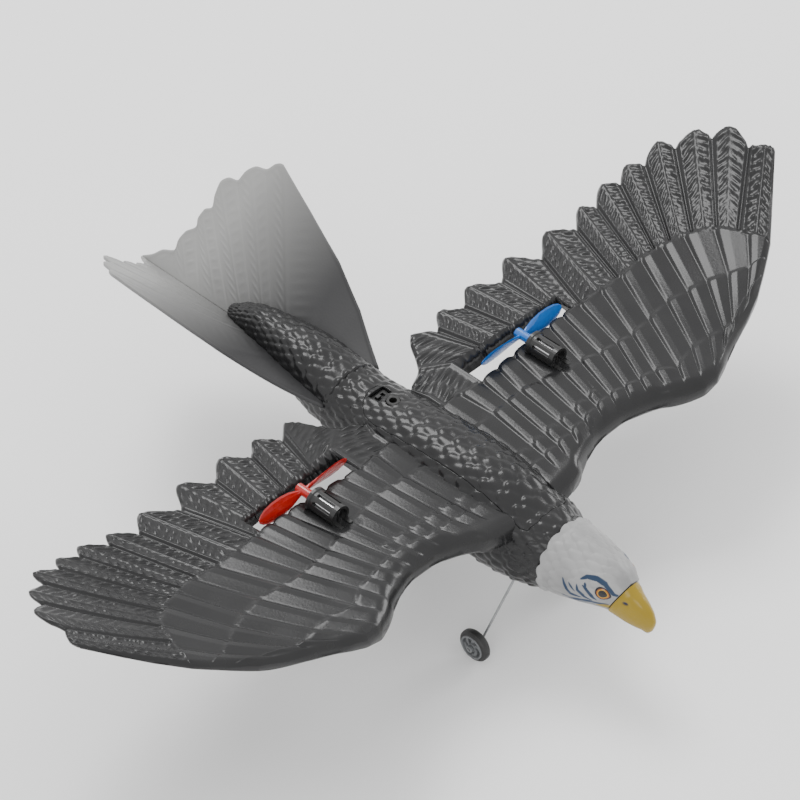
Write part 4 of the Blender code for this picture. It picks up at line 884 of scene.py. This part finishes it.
def eye(name, side):
    """Eye: rings of an almond outline, r reach cos and r 3.5 sin, raised by the dome
    1.5 sqrt(1 - 0.96 r^2), over a smaller flat back. radius holds r for the printed rings."""
    out = np.array([0.80, -0.50, 0.34])
    out /= np.linalg.norm(out)
    long = np.array([0.42, 0.86, 0.28])
    long -= out * (long @ out)
    long /= np.linalg.norm(long)
    high = np.cross(out, long)
    high *= np.sign(high[2])
    r = np.linspace(0.02, 1, 30)[:, None]
    points = 64
    around = np.linspace(0, 2 * np.pi, points, endpoint=False)[None, :]
    # almond outline: drawn out to a point at the front
    reach = 4.0 * (1 + 0.22 * np.clip(-np.cos(around), 0, 1) ** 5)
    u, v = r * reach * np.cos(around), r * 3.5 * np.sin(around)
    dome = 1.5 * np.sqrt(1 - 0.96 * r ** 2) - 0.2 + 0 * u
    front = EYE + u[..., None] * long + v[..., None] * high + dome[..., None] * out
    rear = EYE + (u[..., None] * long + v[..., None] * high)[::-1] * 0.9 - 1.8 * out
    rings = np.concatenate([front, rear])
    start, end = EYE + 1.31 * out, EYE - 1.9 * out
    flip = np.array([side, 1.0, 1.0])
    rings, start, end = rings * flip, start * flip, end * flip
    piece = rings_piece(name, place(*np.moveaxis(rings, -1, 0)), eye_print, "airframe",
                        place(*start), place(*end))
    shade = np.concatenate([np.repeat(r, points, 1).ravel(), np.ones(rear.shape[0] * points), [0.0, 1.0]])
    piece.data.attributes.new("radius", "FLOAT", "POINT").data.foreach_set("value", shade.astype(np.float32))
    return piece


eye("left_eye", 1)
eye("right_eye", -1)

# ---------------------------------------------------------------- beak
# A hard glossy yellow shell over the front of the head, hooked, with a nostril on each
# side and a shallow step where the upper and lower halves meet.
BEAK = np.array([(-154.4, -21.2, -144.6, -43.6, 9.9), (-159.5, -25.0, -149.0, -45.0, 8.2),
                 (-164.8, -28.9, -154.5, -46.0, 6.6), (-168.9, -33.4, -159.5, -45.8, 5.0),
                 (-170.5, -38.0, -162.5, -45.4, 3.6), (-169.5, -42.8, -164.0, -45.8, 2.4),
                 (-167.4, -46.2, -165.2, -46.8, 1.0)])


def beak_material():
    """Yellow gloss paint, a little uneven in tone, and darker in the nostrils."""
    mat = foam_material("beak_paint", (0.23, 0.155, 0.006), (0.28, 0.190, 0.010), 0.20)
    nodes, links = mat.node_tree.nodes, mat.node_tree.links
    shader = nodes["Principled BSDF"]
    yellow = shader.inputs["Base Color"].links[0].from_socket
    nostril = nodes.new("ShaderNodeAttribute")
    nostril.attribute_name = "nostril"
    mix = nodes.new("ShaderNodeMix")
    mix.data_type = "RGBA"
    mix.inputs[7].default_value = (0.006, 0.010, 0.03, 1.0)
    links.new(nostril.outputs["Fac"], mix.inputs[0])
    links.new(yellow, mix.inputs[6])
    links.new(mix.outputs[2], shader.inputs["Base Color"])
    return mat


t = np.linspace(0, 6, 150)
angle = np.linspace(0, 2 * np.pi, 160, endpoint=False)[None, :] - np.pi / 2
ridge_y, ridge_z, low_y, low_z, wide = (rounded(np.arange(7.0), BEAK[:, k], t)[:, None] for k in range(5))
up = 0.5 + 0.5 * np.sin(angle)
x = wide * np.cos(angle) * (1.12 - 0.24 * up)
y = low_y + (ridge_y - low_y) * up
z = low_z + (ridge_z - low_z) * up
line = 0.24 - 0.03 * t[:, None]
mouth = 0.55 * np.exp(-((up - line) / 0.035) ** 2) + 0.3 * np.clip((line - up) / 0.05, 0, 1)
x = x * (1 - mouth * np.clip((4.6 - t[:, None]) / 0.8, 0, 1) / np.maximum(wide, 3.0))
cheek = 0.5 * np.exp(-((t[:, None] - 0.55) / 0.3) ** 2) * np.clip(np.sin(angle) + 0.4, 0, 1)
x = x + np.sign(np.cos(angle)) * np.abs(np.cos(angle)) * cheek
spot = np.exp(-((y + 155.9) / 1.7) ** 2 - ((z + 28.6 - 0.35 * (y + 155.9)) / 1.05) ** 2 - (np.abs(x) < 4) * 9.0)
x = x - np.sign(x) * spot * 0.8
rings = np.stack([x, y, z], -1)
rear = rings[0].mean(0)
lip = rear + (rings[0] - rear) * 0.94
rings = np.concatenate([lip[None], rings])
beak = rings_piece("beak_skin", place(*np.moveaxis(rings, -1, 0)), beak_material(), "airframe")
dark = np.concatenate([np.zeros(160), np.clip(spot * 2.2 - 0.75, 0, 1).ravel(), [0.0, 0.0]])
beak.data.attributes.new("nostril", "FLOAT", "POINT").data.foreach_set("value", dark.astype(np.float32))
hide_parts("beak")

# ------------------------------------------------- motors, legs and insides
# Everything with a hard shape comes from the CAD and only gets its real surface: black
# nylon sleeves, bright motor cans, steel wire legs, a foil pouch battery, a green board.


def surface(name, base, other, rough, metal=0.0, grain=400.0, stretch=(1.0, 1.0, 1.0), depth=0.03, coat=0.0):
    """General surface: two tones mixed by fine noise, which also roughens and dents it."""
    mat = bpy.data.materials.new(name)
    mat.use_nodes = True
    nodes, links = mat.node_tree.nodes, mat.node_tree.links
    shader = nodes["Principled BSDF"]
    shader.inputs["Metallic"].default_value = metal
    shader.inputs["Coat Weight"].default_value = coat
    coords = nodes.new("ShaderNodeTexCoord")
    scale = nodes.new("ShaderNodeMapping")
    scale.inputs["Scale"].default_value = stretch
    grains = nodes.new("ShaderNodeTexNoise")
    grains.inputs["Scale"].default_value = grain
    grains.inputs["Detail"].default_value = 5.0
    ramp = nodes.new("ShaderNodeValToRGB")
    ramp.color_ramp.elements[0].position = 0.35
    ramp.color_ramp.elements[1].position = 0.68
    ramp.color_ramp.elements[0].color = (*base, 1.0)
    ramp.color_ramp.elements[1].color = (*other, 1.0)
    gloss = nodes.new("ShaderNodeMapRange")
    gloss.inputs["To Min"].default_value = max(rough - 0.05, 0.03)
    gloss.inputs["To Max"].default_value = rough + 0.08
    bump = nodes.new("ShaderNodeBump")
    bump.inputs["Strength"].default_value = depth
    bump.inputs["Distance"].default_value = 0.0003
    links.new(coords.outputs["Object"], scale.inputs["Vector"])
    links.new(scale.outputs["Vector"], grains.inputs["Vector"])
    links.new(grains.outputs["Fac"], ramp.inputs["Fac"])
    links.new(ramp.outputs["Color"], shader.inputs["Base Color"])
    links.new(grains.outputs["Fac"], gloss.inputs["Value"])
    links.new(gloss.outputs["Result"], shader.inputs["Roughness"])
    links.new(grains.outputs["Fac"], bump.inputs["Height"])
    links.new(bump.outputs["Normal"], shader.inputs["Normal"])
    return mat


def dress(mat, *nodes):
    """Puts the material on the named CAD nodes."""
    for node in nodes:
        for slot in bpy.data.objects[node].material_slots:
            slot.material = mat


nylon = surface("black_nylon", (0.010, 0.010, 0.010), (0.016, 0.016, 0.016), 0.30, depth=0.05)
dress(nylon, "left_motor_pod", "right_motor_pod", "leg_mount", "charge_jack", "power_switch_body",
      "power_switch_knob", "antenna_wire")
dress(surface("brushed_can", (0.62, 0.62, 0.63), (0.78, 0.78, 0.79), 0.22, 1.0, 250.0, (1, 12, 1)),
      "left_motor_can", "right_motor_can")
dress(surface("steel_wire", (0.22, 0.225, 0.23), (0.30, 0.305, 0.31), 0.28, 1.0, 300.0, (1, 1, 6)),
      "left_leg_wire", "right_leg_wire", "left_motor_shaft", "right_motor_shaft")
dress(surface("carbon_rod", (0.012, 0.012, 0.013), (0.030, 0.030, 0.032), 0.3, 0.0, 900.0, (1, 6, 6)),
      "wing_spar")
dress(surface("battery_foil", (0.42, 0.43, 0.45), (0.56, 0.57, 0.59), 0.3, 0.85, 90.0, depth=0.25), "battery")
dress(surface("circuit_board", (0.006, 0.075, 0.022), (0.010, 0.12, 0.035), 0.32, 0.0, 500.0), "receiver_board")
dress(surface("lead_insulation", (0.22, 0.008, 0.008), (0.30, 0.012, 0.010), 0.38), "battery_leads")
dress(surface("black_insulation", (0.010, 0.010, 0.010), (0.018, 0.018, 0.018), 0.42),
      "left_motor_leads", "right_motor_leads")
dress(surface("blue_plastic", (0.004, 0.105, 0.40), (0.006, 0.125, 0.46), 0.18, depth=0.02, coat=0.3),
      "left_propeller")
dress(surface("red_plastic", (0.36, 0.010, 0.008), (0.42, 0.014, 0.010), 0.18, depth=0.02, coat=0.3),
      "right_propeller")
dress(surface("tyre_rubber", (0.010, 0.010, 0.010), (0.020, 0.020, 0.020), 0.55, depth=0.15),
      "left_wheel_tyre", "right_wheel_tyre")

# -------------------------------------------------------------- wheel hubs
# Grey moulded plastic hubs with a boss, five curved spokes and hollows between them,
# and a flange that holds the tyre. They run loose on the wires behind push-on caps.
wheel_plastic = surface("wheel_plastic", (0.12, 0.125, 0.13), (0.15, 0.155, 0.16), 0.40)

dress(wheel_plastic, "left_axle_cap", "right_axle_cap")


def wheel_hub(word, side):
    """Hub: both faces stand off the wheel's middle by a web that is thicker on five spiral
    spokes, 0.35 + 1.45 spoke, and blends to the boss inside and the flange outside. The centre
    of each face is closed flat."""
    rings = 62
    r = np.concatenate([np.linspace(0.9, 7.1, rings), np.linspace(7.1, 0.9, rings)])[:, None]
    face = np.concatenate([np.ones(rings), -np.ones(rings)])[:, None] * side
    around = np.linspace(0, 2 * np.pi, 180, endpoint=False)[None, :]
    boss = np.clip((2.7 - r) / 0.3, 0, 1)
    flange = np.clip((r - 6.0) / 0.3, 0, 1)
    spoke = np.clip(1.8 * np.cos(5 * (around * side + 0.24 * (r - 2.6))) + 0.4, 0, 1)
    web = 0.35 + 1.45 * spoke
    along = web + (2.9 - web) * boss + (3.2 - web) * flange
    x = side * 40.0 + along * face
    verts = place(x, -85.2 + r * np.cos(around), -85.5 + r * np.sin(around))
    hub = rings_piece(word + "_hub_skin", verts, wheel_plastic, word + "_wheel")
    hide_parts(word + "_wheel_hub")
    return hub


wheel_hub("left", 1)
wheel_hub("right", -1)
